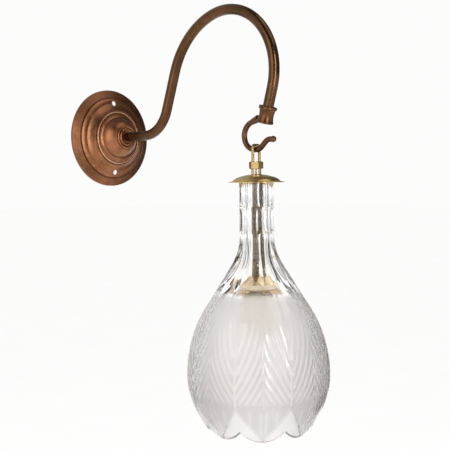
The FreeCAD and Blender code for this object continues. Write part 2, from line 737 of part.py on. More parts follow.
def hook_collar():
    low = -dim["collar_length"]
    edge = dim["collar_edge"]
    waist_top = -(dim["lip_height"] + edge)
    waist_low = low + dim["foot_height"] + edge
    blank = turned(
        "collar_blank",
        [
            (0, low),
            (dim["collar_foot"] - edge, low, edge),
            (dim["collar_foot"], low + edge),
            (dim["collar_foot"], low + dim["foot_height"] - edge, edge * 1.2),
            (dim["collar_foot"] - edge, low + dim["foot_height"]),
            (dim["collar_waist"] + edge / 2, waist_low, -dim["collar_hollow"]),
            (dim["collar_waist"] + edge / 2, waist_top),
            (dim["collar_lip"] - edge, -dim["lip_height"], edge * 1.2),
            (dim["collar_lip"], -dim["lip_height"] + edge),
            (dim["collar_lip"], -edge, edge),
            (dim["collar_lip"] - edge, 0),
            (0, 0),
        ],
    )
    leaning(blank)
    bore = turned(
        "collar_bore",
        [
            (0, low - OVERRUN),
            (dim["mouth_bore"], low - OVERRUN),
            (dim["mouth_bore"], -dim["tube_in_collar"]),
            (tube_hole, -dim["tube_in_collar"]),
            (tube_hole, OVERRUN),
            (0, OVERRUN),
        ],
    )
    leaning(bore)

    # The hook's middle line, (y, z) from the middle of its seat.
    half = dim["hook_seat"] / 2
    back, front = dim["hook_back"], dim["hook_front"]
    opening, slope = dim["hook_open"], dim["hook_slope"]
    back_end = (half + back * cosine(opening), back * (size(1) + sine(opening)))
    root_end = (
        back_end[0] - dim["hook_root"] * sine(opening),
        back_end[1] + dim["hook_root"] * cosine(opening),
    )
    front_end = (-half - front * sine(slope), front * (size(1) - cosine(slope)))
    slope_end = (
        front_end[0] - dim["hook_rise"] * cosine(slope),
        front_end[1] + dim["hook_rise"] * sine(slope),
    )
    tip_start = (
        slope_end[0] - front * sine(slope),
        slope_end[1] + front * (size(1) - cosine(slope)),
    )
    ball = (tip_start[0] - dim["hook_tip"], tip_start[1])
    wire = doc.addObject("PartDesign::Body", "hook_wire")
    route = sketch_on(wire, "YZ_Plane", "hook_route")
    outline(
        route,
        [
            ball,
            (*tip_start, -front),
            slope_end,
            (*front_end, front),
            (-half, 0),
            (half, 0, back),
            (half + back, back, back),
            back_end,
            root_end,
        ],
        closed=False,
    )
    section = sketch_on(wire, "XZ_Plane", "hook_section", -ball[0])
    circle(section, (0, ball[1]), dim["hook_wire"] / 2)
    pipe = wire.newObject("PartDesign::AdditivePipe", "hook_pipe")
    pipe.Profile = section
    pipe.Spine = (route, [])
    place(wire, (0, hang_y, hang_z))
    knob = doc.addObject("Part::Sphere", "hook_ball")
    bind(knob, Radius=dim["ball_diameter"] / 2)
    place(knob, (0, hang_y + ball[0], hang_z + ball[1]))
    flare = doc.addObject("Part::Cone", "hook_flare")
    bind(flare, Radius1=dim["hook_wire"] / 2, Radius2=dim["root_radius"], Height=dim["hook_root"] * 0.85)
    flare.Placement = Placement(Vector(), Rotation(Vector(1, 0, 0), opening.value))
    bind(
        flare,
        **{
            "Placement.Base.y": hang_y + back_end[0],
            "Placement.Base.z": hang_z + back_end[1],
            "Placement.Rotation.Angle": opening,
        },
    )
    casting = fused("hook_casting", [blank, wire, knob, flare])
    return node(cut("collar", casting, bore), "hook_collar")


def cable_bush():
    edge = dim["mouth_bore"] - dim["thread_clear"]
    body = ring("bush", dim["bush_bore"], edge, -dim["collar_length"], -dim["tube_in_collar"])
    return node(leaning(body), "cable_bush")


# Heights of the pendant's parts, from the middle of the hook's seat down.
nut_top = -dim["loop_depth"]
nut_low = nut_top - dim["nut_height"]
cap_top = nut_low - dim["stem_show"]
washer_top = cap_top - dim["cap_shoulder_drop"] - dim["cap_sheet"]
glass_top = washer_top - dim["washer_thick"]
seat = glass_top - dim["seat_drop"]
disc_rim = seat - dim["gasket_thick"] * 0.7
disc_radius = dim["inner_seat"] - dim["disc_inset"]
disc_top = disc_rim + dim["disc_rise"]
clamp_top = disc_top - dim["disc_sheet"]
locknut_low = clamp_top - dim["clamp_washer_thick"] - dim["locknut_thick"]
barrel_top = locknut_low - dim["holder_cap_height"] + dim["insulator_flange"] + dim["barrel_sink"]


def hang(obj, x=0, y=0, z=0, rotation=None):
    """Puts a part of the pendant on the vertical line through the hook's seat."""
    return place(obj, (x, hang_y + y, hang_z + z), rotation)


def shackle():
    middle = (dim["hook_wire"] + dim["loop_rod"]) / 2 + dim["loop_clear"]
    side = dim["loop_pitch"] / 2
    bend = dim["loop_bend"]
    foot = nut_top - dim["nut_roof"] / 2
    loop = doc.addObject("PartDesign::Body", "loop_rod_body")
    route = sketch_on(loop, "XZ_Plane", "loop_route")
    outline(
        route,
        [
            (side, foot),
            (side, middle - bend, bend),
            (side - bend, middle),
            (-side + bend, middle, bend),
            (-side, middle - bend),
            (-side, foot),
        ],
        closed=False,
    )
    section = sketch_on(loop, "XY_Plane", "loop_section", foot)
    circle(section, (side, 0), dim["loop_rod"] / 2)
    pipe = loop.newObject("PartDesign::AdditivePipe", "loop_pipe")
    pipe.Profile = section
    pipe.Spine = (route, [])
    hang(loop)
    nut = hexagon("loop_nut", dim["nut_width"], nut_low, dim["nut_height"], dim["flex_hole"] / 2)
    hang(nut)
    thread = hang(
        rod("loop_thread", tube_hole, dim["nut_height"] - dim["nut_roof"] + OVERRUN),
        z=nut_low - OVERRUN,
    )
    inscribed = dim["nut_width"] / 2
    corner = inscribed + OVERRUN
    skim = OVERRUN / 10
    chamfer = turned(
        "nut_chamfer",
        [
            (inscribed, nut_low - skim),
            (dim["nut_width"], nut_low - skim),
            (dim["nut_width"], nut_top + skim),
            (inscribed, nut_top + skim),
            (corner, nut_top - dim["nut_chamfer"]),
            (corner, nut_low + dim["nut_chamfer"]),
        ],
    )
    hang(chamfer)
    tools = fused("loop_voids", [thread, chamfer])
    base = cut("loop_base", nut, tools)
    return node(fused("loop", [base, loop]), "shackle")


def threaded_stem():
    top = nut_top - dim["nut_roof"]
    low = locknut_low - dim["holder_hub_height"] - 2
    body = ring("stem", dim["stem_bore"] / 2, tube, low, top)
    return node(hang(body), "threaded_stem")


def saucer_cap():
    sheet_thick = dim["cap_sheet"]
    shoulder = (dim["cap_shoulder"], cap_top - dim["cap_shoulder_drop"])
    brim = (dim["cap_brim"], cap_top - dim["cap_brim_drop"])
    rim = cap_top - dim["cap_height"]
    hub_low = cap_top - dim["cap_hub_depth"]
    edge = sheet_thick / 4
    corners = [
        (tube_hole, cap_top),
        (tube_hole, hub_low),
        (dim["cap_hub"], hub_low),
        (dim["cap_hub"], cap_top - sheet_thick * 1.4, -(dim["cap_crown_round"] + dim["cap_round_gap"] * 2)),
        (shoulder[0] - edge, shoulder[1] - sheet_thick, -(dim["cap_hollow_round"] - dim["cap_round_gap"])),
        (brim[0] - edge * 2, brim[1] - sheet_thick * 0.9, dim["cap_brim_round"]),
        (dim["cap_radius"] - edge, rim, dim["cap_edge"] * 0.6),
        (dim["cap_radius"] - edge, rim + dim["cap_edge"], -dim["cap_brim_round"]),
        (brim[0] + edge * 2, brim[1], dim["cap_hollow_round"]),
        (*shoulder, dim["cap_crown_round"]),
    ]
    return node(hang(turned("cap", corners)), "saucer_cap")


def cap_washer():
    body = ring("felt", dim["washer_bore"], dim["cap_shoulder"] - 0.2, glass_top, washer_top)
    return node(hang(body), "cap_washer")


def glass_shade():
    flare, lower, inner = dim["flare_angle"], dim["lower_angle"], dim["inner_slope"]
    neck_low = glass_top - dim["neck_length"]
    flare_end = (
        dim["neck_radius"] + dim["flare_bend"] * (size(1) - cosine(flare)),
        neck_low - dim["flare_bend"] * sine(flare),
    )
    shoulder_z = glass_top - dim["shoulder_drop"]
    shoulder_r = flare_end[0] + (flare_end[1] - shoulder_z) * tangent(flare)
    body_z = glass_top - dim["body_drop"]
    drop = shoulder_z - body_z
    swell = dim["body_radius"] - shoulder_r
    body_bend = (drop * drop + swell * swell) / (swell * 2)
    skirt = (
        dim["body_radius"] - dim["lower_bend"] * (size(1) - cosine(lower)),
        body_z - dim["lower_bend"] * sine(lower),
    )
    low = glass_top - dim["glass_height"]
    rim_r = skirt[0] - (skirt[1] - low) * tangent(lower)
    wall = dim["rim_wall"] / cosine(lower)
    inner_body = dim["body_radius"] - dim["body_wall"]
    inner_bend = (inner_body - dim["inner_seat"]) / (size(1) - cosine(inner))
    inner_z = seat - inner_bend * sine(inner)
    bore_low = glass_top - dim["bore_length"]
    inner_skirt = (skirt[0] - wall, skirt[1])
    inner_drop = inner_z - inner_skirt[1]
    inner_in = inner_body - inner_skirt[0]
    inner_lower = (inner_drop * inner_drop + inner_in * inner_in) / (inner_in * 2)
    run = dim["inner_seat"] - dim["neck_bore"]
    fall = bore_low - seat
    inner_flare = (run * run + fall * fall) / (run * 2)
    body = turned(
        "glass",
        [
            (dim["neck_radius"], glass_top),
            (dim["neck_bore"], glass_top),
            (dim["neck_bore"], bore_low, inner_flare),
            (dim["inner_seat"], seat, -inner_bend),
            (inner_body, inner_z, -inner_lower),
            inner_skirt,
            (rim_r - wall, low),
            (rim_r, low),
            (*skirt, dim["lower_bend"]),
            (dim["body_radius"], body_z, body_bend),
            (shoulder_r, shoulder_z),
            (*flare_end, -dim["flare_bend"]),
            (dim["neck_radius"], neck_low),
        ],
    )
    # One flat on the neck and one notch at the rim, then the same all round.
    panel = sketch_on(body, "YZ_Plane", "neck_panel", -(dim["flare_bend"] / 2))
    near = dim["neck_radius"] - dim["flat_depth"]
    out = flare_end[0] - near
    fall = neck_low - flare_end[1]
    outline(
        panel,
        [
            (near, glass_top),
            (near, neck_low, (out * out + fall * fall) / (out * 2)),
            flare_end,
            (dim["body_radius"], flare_end[1]),
            (dim["body_radius"], glass_top),
        ],
    )
    neck_cut = pocket(body, panel, "neck_cut", dim["flare_bend"], True)
    notch = sketch_on(body, "XZ_Plane", "rim_notch")
    notch.AttachmentOffset = Placement(Vector(), Rotation(Vector(0, 1, 0), 22.5))
    half_step = size(FULL_TURN / 2) / dim["neck_flats"]
    bind(notch, **{"AttachmentOffset.Rotation.Angle": half_step})
    half, depth = dim["leaf_half"], dim["leaf_depth"]
    leaf_round = (half * half + depth * depth) / (depth * 2)
    outline(
        notch,
        [
            (-half, low, leaf_round),
            (0, low + depth, leaf_round),
            (half, low),
            (half, low - depth),
            (-half, low - depth),
        ],
    )
    rim_cut = pocket(body, notch, "rim_cut", dim["body_radius"] * 1.5, False)
    spin = body.newObject("PartDesign::PolarPattern", "all_round")
    spin.Originals = [neck_cut, rim_cut]
    spin.Axis = (plane(body, "Z_Axis"), [""])
    spin.Angle = FULL_TURN
    bind(spin, Occurrences=dim["neck_flats"])
    body.Tip = spin
    return node(hang(body), "glass_shade")


def support_disc():
    thick = dim["disc_sheet"]
    shoulder = (disc_radius - dim["disc_slope"], disc_rim + dim["disc_shoulder_rise"])
    corners = [
        (tube_hole, disc_top),
        (tube_hole, clamp_top),
        (dim["clamp_washer"], clamp_top),
        (shoulder[0] - thick / 2, shoulder[1] - thick),
        (disc_radius - thick, disc_rim),
        (disc_radius, disc_rim),
        (*shoulder, dim["disc_crown"]),
        (dim["clamp_washer"], disc_top - 0.2),
    ]
    return node(hang(turned("disc", corners)), "support_disc")


def disc_gasket():
    """The rubber ring lies on the disc's slope and carries the glass."""
    thick = dim["gasket_thick"]
    run, up = dim["disc_slope"], dim["disc_shoulder_rise"]
    low = (disc_radius - run * 0.1 + 0.02, disc_rim + up * 0.1 + 0.02)
    high = (disc_radius - run * 0.8 + 0.02, disc_rim + up * 0.8 + 0.02)
    offset = thick * 0.7 - 0.02
    corners = [low, (low[0] + offset, low[1] + offset), (high[0] + offset, high[1] + offset), high]
    return node(hang(turned("gasket", corners)), "disc_gasket")


def stem_clamp():
    low = clamp_top - dim["clamp_washer_thick"]
    washer = ring("clamp_ring", tube_hole, dim["clamp_washer"], low, clamp_top)
    node(hang(washer), "stem_washer")
    nut = hexagon("clamp_nut", dim["locknut_width"], locknut_low, dim["locknut_thick"], tube_hole)
    node(hang(nut), "stem_locknut")


def lampholder():
    wall = dim["holder_wall"]
    top = locknut_low
    hub_low = top - dim["holder_hub_height"]
    low = top - dim["holder_cap_height"]
    skirt = dim["holder_radius"]
    slope_low = hub_low - dim["holder_slope"]
    inner_roof = barrel_top + dim["insulator_flange"]
    cap_body = turned(
        "holder_cap",
        [
            (tube_hole, top),
            (tube_hole, hub_low),
            (dim["holder_hub"] - wall, hub_low),
            (skirt - wall, slope_low - wall),
            (skirt - wall, low),
            (skirt, low),
            (skirt, slope_low, dim["holder_round"]),
            (dim["holder_hub"], hub_low),
            (dim["holder_hub"], top),
        ],
    )
    node(hang(cap_body), "lampholder_cap")

    flange_r = skirt - wall - dim["thread_clear"]
    wide_bore = dim["barrel_bore"] + dim["barrel_relief"]
    core_r = wide_bore - dim["insulator_clear"]
    core_low = barrel_top - dim["insulator_depth"]
    core = turned(
        "insulator_blank",
        [
            (0, core_low),
            (core_r, core_low),
            (core_r, barrel_top),
            (flange_r, barrel_top),
            (flange_r, inner_roof),
            (0, inner_roof),
        ],
    )
    hang(core)
    step = core_low + dim["plunger_step"]
    holes = []
    for i, side in enumerate((1, -1)):
        x = dim["plunger_pitch"] / 2 * side
        holes.append(
            hang(rod(f"plunger_hole_{i}", dim["plunger_radius"] + dim["plunger_clear"],
                          dim["insulator_depth"]), x=x, z=core_low - OVERRUN)
        )
        holes.append(
            hang(rod(f"spring_hole_{i}", dim["plunger_collar"] + dim["plunger_clear"],
                          inner_roof - step + OVERRUN), x=x, z=step)
        )
    node(cut("insulator", core, fused("insulator_holes", holes)), "lampholder_insulator")

    posts = []
    for i, side in enumerate((1, -1)):
        x = dim["plunger_pitch"] / 2 * side
        post = box(f"post_{i}", (dim["post_size"], dim["post_size"] * 1.6, dim["post_height"]))
        hang(post, x=x - dim["post_size"] / 2, y=-(dim["post_size"] * 0.8), z=inner_roof)
        wire_hole = hang(
            rod(f"post_hole_{i}", dim["post_height"] / 3, dim["post_size"] * 2),
            x=x,
            y=-dim["post_size"],
            z=inner_roof + dim["post_height"] / 2,
            rotation=ALONG_Y,
        )
        posts.append(cut(f"post_drilled_{i}", post, wire_hole))
    node(group("posts", posts), "lampholder_terminals")

    barrel_low = barrel_top - dim["barrel_length"]
    lamp_top = core_low - dim["plunger_out"] - dim["plunger_room"]
    barrel = turned(
        "barrel_tube",
        [
            (dim["barrel_bore"], barrel_low),
            (dim["barrel_radius"], barrel_low),
            (dim["barrel_radius"], barrel_top),
            (wide_bore, barrel_top),
            (wide_bore, lamp_top),
            (dim["barrel_bore"], lamp_top),
        ],
    )
    hang(barrel)
    slots = []
    for i, side in enumerate((1, -1)):
        reach = dim["barrel_radius"] + OVERRUN
        upright = box(f"slot_up_{i}", (dim["slot_width"], reach, dim["slot_depth"] + OVERRUN))
        across = box(f"slot_across_{i}", (dim["slot_side"], reach, dim["slot_width"]))
        turn = Rotation(Vector(0, 0, 1), 0 if side > 0 else FULL_TURN / 2)
        hang(upright, x=-(dim["slot_width"] / 2 * side), z=barrel_low - OVERRUN, rotation=turn)
        hang(across, x=-(dim["slot_width"] / 2 * side),
             z=barrel_low + dim["slot_depth"] - dim["slot_width"], rotation=turn)
        slots += [upright, across]
    node(cut("barrel", barrel, fused("barrel_slots", slots)), "lampholder_barrel")

    ring_top = barrel_top - dim["ring_drop"]
    ring_low = ring_top - dim["ring_height"]
    lip = dim["ring_height"] / 3
    thread = dim["barrel_radius"] + dim["thread_clear"]
    shade_ring = turned(
        "shade_ring_body",
        [
            (thread, ring_low),
            (dim["ring_radius"] - lip, ring_low),
            (dim["ring_radius"], ring_low + lip),
            (dim["ring_radius"], ring_low + lip * 1.6),
            (thread + lip * 1.4, ring_low + lip * 1.6),
            (thread + lip * 1.4, ring_top),
            (thread, ring_top),
        ],
    )
    node(hang(shade_ring), "shade_ring")
    return core_low, step, inner_roof


def contacts(core_low, step, roof):
    """The two sprung plungers, each with its spring between its collar and the terminal."""
    for name, side in (("left", -1), ("right", 1)):
        x = dim["plunger_pitch"] / 2 * side
        length = dim["plunger_out"] + dim["plunger_step"] + dim["plunger_float"]
        foot = hang(rod(f"plunger_foot_{name}", dim["plunger_radius"], length),
                    x=x, z=core_low - dim["plunger_out"])
        collar = hang(rod(f"plunger_collar_{name}", dim["plunger_collar"],
                               dim["plunger_collar_thick"]), x=x, z=step + dim["plunger_float"])
        node(fused(f"plunger_{name}_body", [foot, collar]), f"plunger_{name}")
        low = step + dim["plunger_float"] + dim["plunger_collar_thick"]
        wire = dim["spring_wire"]
        reach = roof - low - dim["spring_gap"] * 2 - wire
        coil = doc.addObject("Part::Helix", f"spring_coil_{name}")
        coil_radius = dim["plunger_collar"] - wire / 2 - dim["plunger_clear"]
        bind(coil, Pitch=reach / dim["spring_turns"], Height=reach, Radius=coil_radius)
        section = doc.addObject("Part::Circle", f"spring_section_{name}")
        bind(section, Radius=wire / 2)
        section.Placement = Placement(Vector(coil_radius.value, 0, 0), ALONG_Y)
        bind(section, **{"Placement.Base.x": coil_radius})
        spring = doc.addObject("Part::Sweep", f"spring_{name}")
        spring.Sections = [section]
        spring.Spine = (coil, ["Edge1"])
        spring.Solid = True
        spring.Frenet = True
        hang(spring, x=x, z=low + dim["spring_gap"] + wire / 2)
        node(spring, f"plunger_spring_{name}")


rose_backplate()
rose_dome()
arm_boss()
clamp_strap()
arm_washer()
arm_nut()
earth_terminal()
terminal_block()
swan_neck_arm()
hook_collar()
cable_bush()
shackle()
threaded_stem()
saucer_cap()
cap_washer()
glass_shade()
support_disc()
disc_gasket()
stem_clamp()
contacts(*lampholder())

doc.recompute()

failed = [o.Name for o in doc.Objects if {"Invalid", "Error"} & set(o.State)]
if failed:
    raise SystemExit(f"these objects failed: {', '.join(failed)}")
for part in NODES:
    if part.Shape.isNull() or not part.Shape.isValid():
        raise SystemExit(f"{part.Label} has no valid shape")
    if not part.Shape.Solids:
        raise SystemExit(f"{part.Label} has no solid")
os.makedirs("parts", exist_ok=True)
for part in NODES:
    part.Shape.exportStep(os.path.join("parts", part.Label + ".step"))
    bounds = part.Shape.BoundBox
    print(
        f"{part.Label:24s} solids {len(part.Shape.Solids)} volume {part.Shape.Volume:10.2f} "
        f"y {bounds.YMin:8.2f} {bounds.YMax:8.2f} z {bounds.ZMin:8.2f} {bounds.ZMax:8.2f}"
    )
print(f"hang point y {hang_y.value:.2f} z {hang_z.value:.2f}, {len(NODES)} nodes")
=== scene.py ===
"""The looks of a swan-neck wall light whose cut glass shade hangs on a hook.

Lengths are millimetres in the named values and metres in the scene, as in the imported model.
"""

import math

import bmesh
import bpy
import numpy as np
from mathutils import Matrix, Vector


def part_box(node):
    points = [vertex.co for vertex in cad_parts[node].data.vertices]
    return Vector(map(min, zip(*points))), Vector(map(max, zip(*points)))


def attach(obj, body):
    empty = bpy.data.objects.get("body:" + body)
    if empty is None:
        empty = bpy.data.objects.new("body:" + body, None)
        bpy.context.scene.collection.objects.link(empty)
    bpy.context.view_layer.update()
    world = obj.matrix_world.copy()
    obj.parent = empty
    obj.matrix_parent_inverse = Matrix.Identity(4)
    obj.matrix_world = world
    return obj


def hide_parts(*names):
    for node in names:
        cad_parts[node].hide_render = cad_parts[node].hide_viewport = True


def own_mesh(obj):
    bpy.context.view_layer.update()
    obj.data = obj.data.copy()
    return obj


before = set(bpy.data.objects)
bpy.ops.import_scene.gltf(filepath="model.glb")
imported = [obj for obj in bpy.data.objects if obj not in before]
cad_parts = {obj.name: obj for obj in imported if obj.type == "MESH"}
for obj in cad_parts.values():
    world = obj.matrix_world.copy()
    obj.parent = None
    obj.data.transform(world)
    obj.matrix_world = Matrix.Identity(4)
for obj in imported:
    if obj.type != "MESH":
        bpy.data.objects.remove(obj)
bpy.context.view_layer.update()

MM = 0.001


def axis_of(node):
    """The vertical middle line of a round piece, and its lowest and highest place, in metres."""
    low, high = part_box(node)
    middle = (low + high) / 2
    return Vector((middle.x, middle.y, 0)), low.z, high.z


HANG, _, GLASS_TOP = axis_of("glass_shade")


# ---------------------------------------------------------------- materials


class Wiring:
    """A node tree and the few calls that add nodes to it."""

    def __init__(self, tree):
        self.tree = tree

    def put(self, node, socket, value):
        """Sets a socket, or links it when the value is another node's output."""
        socket = node.inputs[socket]
        if isinstance(value, bpy.types.NodeSocket):
            self.tree.links.new(value, socket)
        elif isinstance(value, tuple) and len(value) == 3 and socket.type == "RGBA":
            socket.default_value = (*value, 1)
        else:
            socket.default_value = value

    def math(self, operation, *values, clamp=False):
        node = self.tree.nodes.new("ShaderNodeMath")
        node.operation = operation
        node.use_clamp = clamp
        for index, value in enumerate(values):
            self.put(node, index, value)
        return node.outputs[0]

    def ramp(self, value, low, high, start=0.0, end=1.0):
        """Maps a value from low..high to start..end, and holds it there outside."""
        node = self.tree.nodes.new("ShaderNodeMapRange")
        sockets = ("Value", "From Min", "From Max", "To Min", "To Max")
        for socket, given in zip(sockets, (value, low, high, start, end)):
            self.put(node, socket, given)
        return node.outputs[0]

    def mix(self, share, first, second):
        """Mixes two colours. Sockets 0, 6 and 7 and output 2 are the node's colour ones."""
        node = self.tree.nodes.new("ShaderNodeMix")
        node.data_type = "RGBA"
        for index, value in ((0, share), (6, first), (7, second)):
            self.put(node, index, value)
        return node.outputs[2]

    def parts(self, vector):
        """The x, y and z of a vector."""
        node = self.tree.nodes.new("ShaderNodeSeparateXYZ")
        self.put(node, 0, vector)
        return node.outputs


class Paint(Wiring):
    """A material whose nodes work in the part's own space."""

    corner_samples = 12

    def __init__(self, name, **values):
        self.material = bpy.data.materials.new(name)
        self.material.use_nodes = True
        super().__init__(self.material.node_tree)
        self.surface = self.tree.nodes["Principled BSDF"]
        self.place = self.tree.nodes.new("ShaderNodeTexCoord").outputs["Object"]
        self.finish(**values)

    def finish(self, **values):
        """Sets or links sockets of the shader and gives the material."""
        for socket, value in values.items():
            self.put(self.surface, socket.replace("_", " "), value)
        return self.material

    def vector(self, operation, *values):
        node = self.tree.nodes.new("ShaderNodeVectorMath")
        node.operation = operation
        for index, value in enumerate(values):
            self.put(node, index, value)
        return node.outputs[0]

    def flat(self, x, y, z):
        node = self.tree.nodes.new("ShaderNodeCombineXYZ")
        for index, value in enumerate((x, y, z)):
            self.put(node, index, value)
        return node.outputs[0]

    def scaled(self, colour, scale):
        return self.vector("MULTIPLY", colour, self.flat(scale, scale, scale))

    def noise(self, scale, detail=3.0, roughness=0.5, place=None, distortion=0.0):
        node = self.tree.nodes.new("ShaderNodeTexNoise")
        self.put(node, "Vector", place or self.place)
        self.put(node, "Scale", scale)
        self.put(node, "Detail", detail)
        self.put(node, "Roughness", roughness)
        self.put(node, "Distortion", distortion)
        return node.outputs[0]

    def bump(self, height, strength, distance, under=None):
        node = self.tree.nodes.new("ShaderNodeBump")
        self.put(node, "Height", height)
        self.put(node, "Strength", strength)
        self.put(node, "Distance", distance)
        if under is not None:
            self.put(node, "Normal", under)
        return node.outputs[0]

    def hollow(self, reach, inside=False):
        """1 in the open and lower in corners. With inside it is lower near outer edges."""
        node = self.tree.nodes.new("ShaderNodeAmbientOcclusion")
        node.samples = self.corner_samples
        node.inside = inside
        node.only_local = True
        self.put(node, "Distance", reach)
        return node.outputs["AO"]

    def around(self, centre, axis):
        """Distance from an axis through centre, angle around it in radians, and place along it."""
        parts = self.parts(self.vector("SUBTRACT", self.place, tuple(centre)))
        first, second = [parts[i] for i in range(3) if i != axis]
        squares = [self.math("MULTIPLY", side, side) for side in (first, second)]
        distance = self.math("SQRT", self.math("ADD", *squares))
        return distance, self.math("ARCTAN2", first, second), parts[axis]

    def height(self):
        return self.parts(self.place)[ALONG_Z]

    def attribute(self, name):
        """A value that the mesh keeps at its points."""
        node = self.tree.nodes.new("ShaderNodeAttribute")
        node.attribute_name = name
        return node.outputs["Fac"]


ORIGIN = Vector((0, 0, 0))
ALONG_Y, ALONG_Z = 1, 2

# How far the bead and the step of the rose are from its middle.
BEAD_LINE, STEP_LINE = 27.4 * MM, 43.2 * MM


def spun_rings(paint, centre, axis, pitch):
    """Fine rings around an axis, uneven and broken, as a spun sheet has."""
    radius, angle, along = paint.around(centre, axis)
    place = paint.flat(
        paint.math("MULTIPLY", radius, 1 / pitch),
        paint.math("MULTIPLY", along, 1 / pitch),
        paint.math("MULTIPLY", angle, 0.6),
    )
    return paint.noise(1.0, 2.0, 0.6, place)


def aged_bronze(name, tone, rose=False, cast=0.0, reach=3.5 * MM, gloss=0.0):
    """Reddish brown copper bronze: cloudy patina, worn edges and painted shade in its corners.

    The rose also has fine rings, a painted highlight on its bead, painted shade at its step
    and a flange darkened by painted shade. A casting has a bumpy skin as strong as cast.
    """
    paint = Paint(name, Metallic=1.0, Coat_Weight=0.17, Coat_Roughness=0.24, Coat_IOR=1.5)
    red, brown, gold = (0.44, 0.170, 0.080), (0.28, 0.115, 0.048), (0.52, 0.27, 0.10)
    rubbed_edge, bead_highlight = (0.86, 0.55, 0.34), (0.95, 0.58, 0.38)
    cloud = paint.noise(38.0, 5.0, 0.6, distortion=0.4)
    stain = paint.noise(150.0, 4.0, 0.65)
    colour = paint.mix(paint.ramp(cloud, 0.36, 0.62), brown, red)
    colour = paint.mix(paint.ramp(stain, 0.52, 0.74, 0.0, 0.55), colour, gold)
    worn = paint.ramp(paint.hollow(1.1 * MM, inside=True), 0.30, 0.62, 1.0, 0.0)
    colour = paint.mix(paint.math("MULTIPLY", worn, 0.55), colour, rubbed_edge)

    shade = paint.ramp(paint.noise(14.0, 3.0, 0.5), 0.3, 0.7, 0.80 * tone, 1.06 * tone)
    # Painted shade: the colour darkens in corners and recesses.
    dark = paint.ramp(paint.hollow(reach), 0.25, 0.92, 0.30, 1.0)
    scale = paint.math("MULTIPLY", shade, dark)
    if rose:
        radius, _, _ = paint.around(ORIGIN, ALONG_Y)
        # Painted highlight: a pale line along the crest of the bead.
        bead = paint.math("ABSOLUTE", paint.math("SUBTRACT", radius, BEAD_LINE))
        bead = paint.ramp(bead, 0.9 * MM, 0.35 * MM, 0.0, 0.85)
        colour = paint.mix(bead, colour, bead_highlight)
        # Painted shade: a dark line along the recess of the step.
        step = paint.math("ABSOLUTE", paint.math("SUBTRACT", radius, STEP_LINE))
        step = paint.ramp(step, 0.35 * MM, 0.95 * MM, 0.30, 1.0)
        # Painted shade: the flange outside the step is darkened.
        flange = paint.ramp(radius, STEP_LINE, STEP_LINE + 1.5 * MM, 1.0, 0.78)
        scale = paint.math("MULTIPLY", paint.math("MULTIPLY", scale, step), flange)
    greener = paint.math("MULTIPLY", scale, 1 + gloss)
    colour = paint.vector("MULTIPLY", colour, paint.flat(scale, greener, scale))

    rough = paint.ramp(stain, 0.3, 0.75, 0.31 - gloss, 0.42 - gloss)
    rough = paint.math("SUBTRACT", rough, paint.math("MULTIPLY", worn, 0.10))
    normal = paint.bump(paint.noise(420.0, 2.0, 0.5), 0.03, 0.04 * MM)
    if rose:
        rings = spun_rings(paint, ORIGIN, ALONG_Y, 0.55 * MM)
        normal = paint.bump(rings, 0.14, 0.04 * MM, normal)
        rough = paint.math("ADD", rough, paint.ramp(rings, 0.3, 0.7, -0.03, 0.03))
    if cast:
        normal = paint.bump(paint.noise(330.0, 4.0, 0.6), cast, 0.35 * MM, normal)
    return paint.finish(Base_Color=colour, Roughness=rough, Normal=normal)


def plain_metal(name, colour, dark, rough, rings_round=None, streak=0.12):
    """A turned or drawn metal: colour drifting a little, fine marks and painted shade in corners."""
    paint = Paint(name, Metallic=1.0)
    cloud = paint.noise(120.0, 4.0, 0.6)
    shade = paint.mix(paint.ramp(cloud, 0.35, 0.68), dark, colour)
    # Painted shade: the colour darkens in corners.
    shade = paint.scaled(shade, paint.ramp(paint.hollow(1.6 * MM), 0.30, 0.90, 0.45, 1.0))
    roughness = paint.ramp(cloud, 0.3, 0.7, rough * 0.8, rough * 1.25)
    normal = paint.bump(paint.noise(700.0, 3.0, 0.6), 0.08, 0.05 * MM)
    if rings_round is not None:
        rings = spun_rings(paint, rings_round, ALONG_Z, 0.35 * MM)
        normal = paint.bump(rings, streak, 0.05 * MM, normal)
        roughness = paint.math("ADD", roughness, paint.ramp(rings, 0.3, 0.7, -0.04, 0.04))
    return paint.finish(Base_Color=shade, Roughness=roughness, Normal=normal)


def stem_metal():
    """Nickel where the stem is handled, olive brown brass where it has aged inside the glass."""
    paint = Paint("stem_nickel", Metallic=1.0)
    dull_nickel, bright_nickel = (0.82, 0.76, 0.66), (0.98, 0.94, 0.86)
    dark_olive, light_olive = (0.20, 0.145, 0.07), (0.34, 0.26, 0.14)
    cloud = paint.noise(260.0, 4.0, 0.65)
    ragged = paint.ramp(cloud, 0.2, 0.8, -2.0 * MM, 2.0 * MM)
    edge = paint.math("ADD", paint.height(), ragged)
    inside = paint.ramp(edge, GLASS_TOP + 1 * MM, GLASS_TOP - 3 * MM)
    patches = paint.ramp(cloud, 0.35, 0.7)
    nickel = paint.mix(patches, dull_nickel, bright_nickel)
    olive = paint.mix(patches, dark_olive, light_olive)
    # Painted shade: the colour darkens in corners.
    corner = paint.ramp(paint.hollow(0.5 * MM), 0.30, 0.90, 0.55, 1.0)
    colour = paint.scaled(paint.mix(inside, nickel, olive), corner)
    rough = paint.ramp(cloud, 0.3, 0.7, 0.22, 0.36)
    normal = paint.bump(paint.noise(1500.0, 2.0, 0.5), 0.06, 0.03 * MM)
    return paint.finish(Base_Color=colour, Roughness=rough, Normal=normal)


# Heights between which the glass goes from clear to etched, from rougher to finer etching on its
# inside, and from lighter to greyer towards the bottom on its outside.
ETCH_FROM, ETCH_TO = GLASS_TOP - 103 * MM, GLASS_TOP - 111 * MM
FINER_FROM, FINER_TO = GLASS_TOP - 110 * MM, GLASS_TOP - 165 * MM
GREY_FROM, GREY_TO = GLASS_TOP - 115 * MM, GLASS_TOP - 185 * MM


